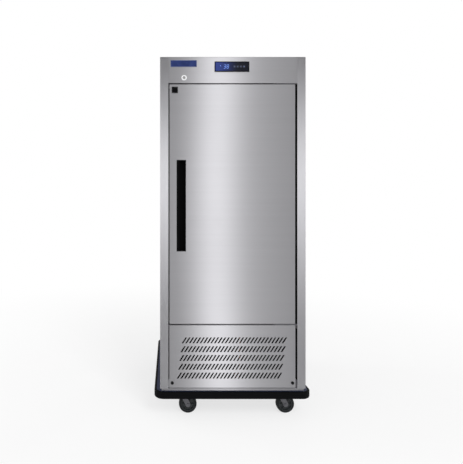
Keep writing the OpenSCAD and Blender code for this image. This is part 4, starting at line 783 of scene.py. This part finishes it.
# Fans. Moulded glass-filled blades on a hub pushed onto the motor's shaft; the blades
# are cambered and swept back.
def fan_blades(mesh, place, hub, tip, depth, count=5):
    """Adds a bored hub and cambered blades about a place's axis, from it to a depth.

    Every blade is a grid, laid out from its root to its tip and from edge to edge. It is
    widest near its middle, swept back at its tip, and less pitched there than at its root.
    """
    bore, chamfer, root, blade_t = 0.005, 0.003, hub * 0.97, 0.0016
    hub_wall = [(bore, 0), (hub, 0), (hub, depth - chamfer), (hub - chamfer, depth), (bore, depth)]
    turned(mesh, hub_wall, place)
    for k in range(count):
        grid = bmesh.ops.create_grid(mesh, x_segments=8, y_segments=8, size=1)["verts"]
        for v in grid:
            out, chord = (v.co.x + 1) / 2, v.co.y
            radius = root + out * (tip - root)
            width = 0.46 + 0.1 * math.sin(math.pi * out) - 0.14 * out ** 4
            angle = math.tau * k / count + chord * width - 0.3 * out ** 2
            lift = 0.5 + (0.4 - 0.14 * out) * chord + 0.08 * (1 - chord * chord)
            v.co = (radius * math.cos(angle), radius * math.sin(angle), depth * lift)
        blade = list({f for v in grid for f in v.link_faces})
        thick = bmesh.ops.solidify(mesh, geom=blade, thickness=blade_t)["geom"]
        verts = set(grid) | {v for v in thick if isinstance(v, bmesh.types.BMVert)}
        bmesh.ops.transform(mesh, matrix=place, verts=list(verts))


fan_plastic = moulded("fan_plastic", (0.03, 0.03, 0.032), 0.45)
tip_gap, cooler_hub, machine_hub = 0.001, 0.025, 0.028
cooler_fan = bmesh.new()
low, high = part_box("evaporator_fan")
tip = (high[0] - low[0]) / 2 - tip_gap
fan_place = Matrix.Translation((cooler_x, cooler_y, low[2]))
fan_blades(cooler_fan, fan_place, cooler_hub, tip, high[2] - low[2])
fit(cooler_fan, "cooler_fan", "evaporator_fan", fan_plastic, "evaporator_fan")
machine_fan = bmesh.new()
low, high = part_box("condenser_fan")
tip = (high[0] - low[0]) / 2 - tip_gap
fan_x, _, fan_z = joint_point("condenser_fan_spin")
to_back = Matrix.Rotation(math.radians(-90), 4, "X")
fan_place = Matrix.Translation((fan_x, low[1], fan_z)) @ to_back
fan_blades(machine_fan, fan_place, machine_hub, tip, high[1] - low[1])
fit(machine_fan, "machine_fan", "condenser_fan", fan_plastic, "condenser_fan")


# Coils and pipes. Aluminium fins are pressed on copper tubes; copper lines are brazed
# to them and to the compressor.
fin_stock, on_fins = start_material("fin_stock")
fin_haze = noise(on_fins, (120, 120, 3), 3.0)
finish_material(
    fin_stock,
    {
        "Base Color": fin_haze.blend((0.5, 0.51, 0.52), (0.68, 0.69, 0.7)),
        "Metallic": 1.0,
        "Roughness": 0.35 + 0.15 * fin_haze,
    },
    fin_haze, 0.0001,
)
refinish(fin_stock, "evaporator_coil")
copper_tube = spangled("copper_tube", (0.62, 0.29, 0.16), 0.34, cell=40)
refinish(copper_tube, "refrigerant_lines")


# Compressor, condenser and motors. Steel shells enamelled black or grey with a slight
# orange-peel skin, the condenser's fins painted near-black, which is partly painted shade behind
# the grille, and the folded sheet shroud of its fan.
def enamelled(name, tone, roughness, coat=0.5, peel=380):
    """Paint or powder coat with an orange-peel skin and a little dust."""
    made, place = start_material(name)
    skin = noise(place, (peel, peel, peel), 1.0)
    dust = noise(place, (5, 5, 5), 5.0)
    dark, pale = ([c * k for c in tone] for k in (0.85, 1.2))
    sockets = {
        "Base Color": dust.step(0.35, 0.7).blend(dark, pale),
        "Roughness": roughness + 0.15 * (dust - 0.5) + 0.06 * (skin - 0.5),
        "Coat Weight": coat,
        "Coat Roughness": 0.15,
    }
    return finish_material(made, sockets, skin, 0.00008)


refinish(enamelled("black_enamel", (0.012, 0.012, 0.013), 0.35), "compressor")
# Partly painted shade: the fins' near-black paint also stands in for the shade behind the grille.
refinish(enamelled("condenser_paint", (0.016, 0.015, 0.014), 0.6, coat=0.0), "condenser_coil")
refinish(enamelled("motor_enamel", (0.1, 0.105, 0.115), 0.4), "fan_motors")
black_sheet = enamelled("black_sheet_paint", (0.015, 0.015, 0.016), 0.5, coat=0.2)
dress("condenser_shroud", "shroud_sheet", "cabinet", black_sheet, 0.001)


# Service parts. A sheet box for the electrics, painted near-black as painted shade behind the
# grille's slots, a moulded tray for meltwater, the mains inlet, the black harness between them,
# and the cavity's lamp with its ribbed lens.
# Painted shade: the box's near-black tone stands in for the shade seen through the grille's slots.
box_paint = enamelled("box_paint", (0.02, 0.02, 0.021), 0.55, coat=0.0)
dress("electrical_box", "electrics_cover", "cabinet", box_paint, 0.001)
refinish(moulded("tray_plastic", (0.035, 0.035, 0.037), 0.5), "condensate_pan")
refinish(moulded("inlet_plastic", (0.012, 0.012, 0.012), 0.35), "power_inlet")
refinish(moulded("cable_sheath", (0.013, 0.013, 0.013), 0.6, grain=500), "wiring_harness")
lamp_lens, on_lamp = start_material("lamp_lens")
along_lamp = parts_of(on_lamp)[0]
rib_w = 0.002
ribs = along_lamp.math("PINGPONG", along_lamp, rib_w) * (1 / rib_w)
finish_material(
    lamp_lens,
    {
        "Base Color": ribs.blend((0.74, 0.75, 0.72), (0.84, 0.85, 0.82)),
        "Roughness": 0.3 + 0.1 * ribs,
        "Emission Color": ribs.blend((0.8, 0.82, 0.8), (1, 1, 0.97)),
        "Emission Strength": 0.9,
    },
    ribs, 0.0003,
)
refinish(lamp_lens, "interior_lamp")


# Foam. Poured polyurethane fills the walls and the door, with its small cells showing
# only where it is cut.
foam, in_foam = start_material("poured_foam")
cells = in_foam.node("TexVoronoi", None, {"Vector": in_foam, "Scale": 900.0})
foam_cloud = noise(in_foam, (20, 20, 20), 4.0)
finish_material(
    foam,
    {
        "Base Color": foam_cloud.blend((0.62, 0.5, 0.24), (0.76, 0.66, 0.36)),
        "Roughness": 0.85 + 0.1 * cells,
    },
    cells, 0.0004,
)
refinish(foam, "cabinet_foam", "door_foam")


# Back louvres. Pressed hoods over the vents in the back panel, which shed drips and let
# the compressor's warm air out.
back_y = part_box("back_panel")[1][1]
first_top, row_step, hood_rows, hood_columns = 0.4145, 0.022, 8, (-0.23, 0.01)
hood_half, hood_drop, hood_out, hood_t, clear = 0.062, 0.0085, 0.006, 0.0008, 0.0001
hoods = bmesh.new()
for row in range(hood_rows):
    for middle in hood_columns:
        top = first_top - row * row_step
        grid = bmesh.ops.create_grid(hoods, x_segments=16, y_segments=6, size=1)["verts"]
        for v in grid:
            along, down = v.co.x, (1 - v.co.y) / 2
            ends = (1 - along ** 6) ** 0.5 if abs(along) < 1 else 0
            out = hood_out * math.sin(down * math.pi / 2) * ends
            v.co = (middle + along * hood_half, back_y + clear + out, top - hood_drop * down)
        hood = list({f for v in grid for f in v.link_faces})
        bmesh.ops.recalc_face_normals(hoods, faces=hood)
        bmesh.ops.solidify(hoods, geom=hood, thickness=hood_t)
fit(hoods, "louvre_hoods", "cabinet", plain_steel)


# Rivets. Domed blind rivets of zinc-plated steel hold the back panel to the side panels'
# flanges, in a row up each side. Their section is in radius and height.
dome = [(0, 0.0011), (0.0016, 0.00095), (0.0029, 0.0004), (0.0032, -0.0002), (0, -0.0002)]
rivet_side, rivet_count, lowest_rivet, rivet_step = 0.3585, 9, 0.21, 0.195
rivets = bmesh.new()
for rivet_x in (-rivet_side, rivet_side):
    for rivet in range(rivet_count):
        place = Matrix.Translation((rivet_x, back_y, lowest_rivet + rivet_step * rivet))
        turned(rivets, dome, place @ to_back, 12)
bmesh.ops.remove_doubles(rivets, verts=rivets.verts, dist=MERGED)
bmesh.ops.recalc_face_normals(rivets, faces=rivets.faces)
fit(rivets, "back_rivets", "cabinet", zinc)


# Base. A folded steel channel ring with corner gussets, powder-coated navy, carries the
# cabinet; a black rubber bumper goes all the way round it.
navy = enamelled("navy_powder_coat", (0.016, 0.024, 0.072), 0.5, coat=0.0, peel=300)
dress("base_frame", "base_channel", "cabinet", navy, 0.0015, 0.0015)
bumper_rubber = moulded(
    "bumper_rubber", (0.0028, 0.003, 0.0036), 0.6, grain=500, depth=0.00005, shine=0.09
)
dress("bumper", "bumper_strip", "cabinet", bumper_rubber, 0.002, bend=30)


# Casters. Pressed forks swivel under ball races, with a dark plating that is partly painted shade
# under the base; each wheel is a rubber tyre on a ribbed plastic core that turns on a riveted
# axle.
tyre_rubber = moulded(
    "tyre_rubber", (0.017, 0.02, 0.021), 0.55, grain=700, depth=0.00004, shine=0.2
)
core_plastic = moulded("core_plastic", (0.034, 0.04, 0.042), 0.45)
# Half the section of the tyre and of the core, in radius and height from the wheel's middle.
tread = [(0.0345, 0.0125), (0.0425, 0.014), (0.0452, 0.0128), (0.0465, 0.0095), (0.047, 0.0045)]
tread += [(radius, -height) for radius, height in reversed(tread)]
core = [
    (0.00405, 0.0158), (0.011, 0.0158), (0.0115, 0.0065), (0.0315, 0.005), (0.0325, 0.0123),
    (0.0347, 0.0123),
]
core += [(radius, -height) for radius, height in reversed(core)]
rib_count, rib_half, rib_depth, rib_foot, rib_end = 6, 0.0012, 0.0075, 0.010, 0.0335
for corner in ("front_left", "front_right", "rear_left", "rear_right"):
    fork, wheel = "fork_" + corner, "wheel_" + corner
    # Painted shade: the forks take the dark plating so that they read as dark as the shade under
    # the base.
    dress(fork, fork + "_pressing", fork, dark_zinc_and_shade, 0.0008)
    low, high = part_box(wheel)
    middle = [(a + b) / 2 for a, b in zip(low, high)]
    axle = Matrix.Translation(middle) @ to_back
    tyre = bmesh.new()
    turned(tyre, tread, axle, 64)
    fit(tyre, wheel + "_tyre", wheel, tyre_rubber, wheel)
    centre = bmesh.new()
    turned(centre, core, axle)
    for rib in range(rib_count):
        spoke = axle @ Matrix.Rotation(math.tau * rib / rib_count, 4, "Z")
        for near_side in (0.004, -0.0115):
            far_side = near_side + rib_depth
            block = slab(centre, (rib_foot, -rib_half, near_side), (rib_end, rib_half, far_side))
            bmesh.ops.transform(centre, matrix=spoke, verts=block)
    fit(centre, wheel + "_core", wheel, core_plastic, wheel)


scene.view_settings.view_transform = "Standard"
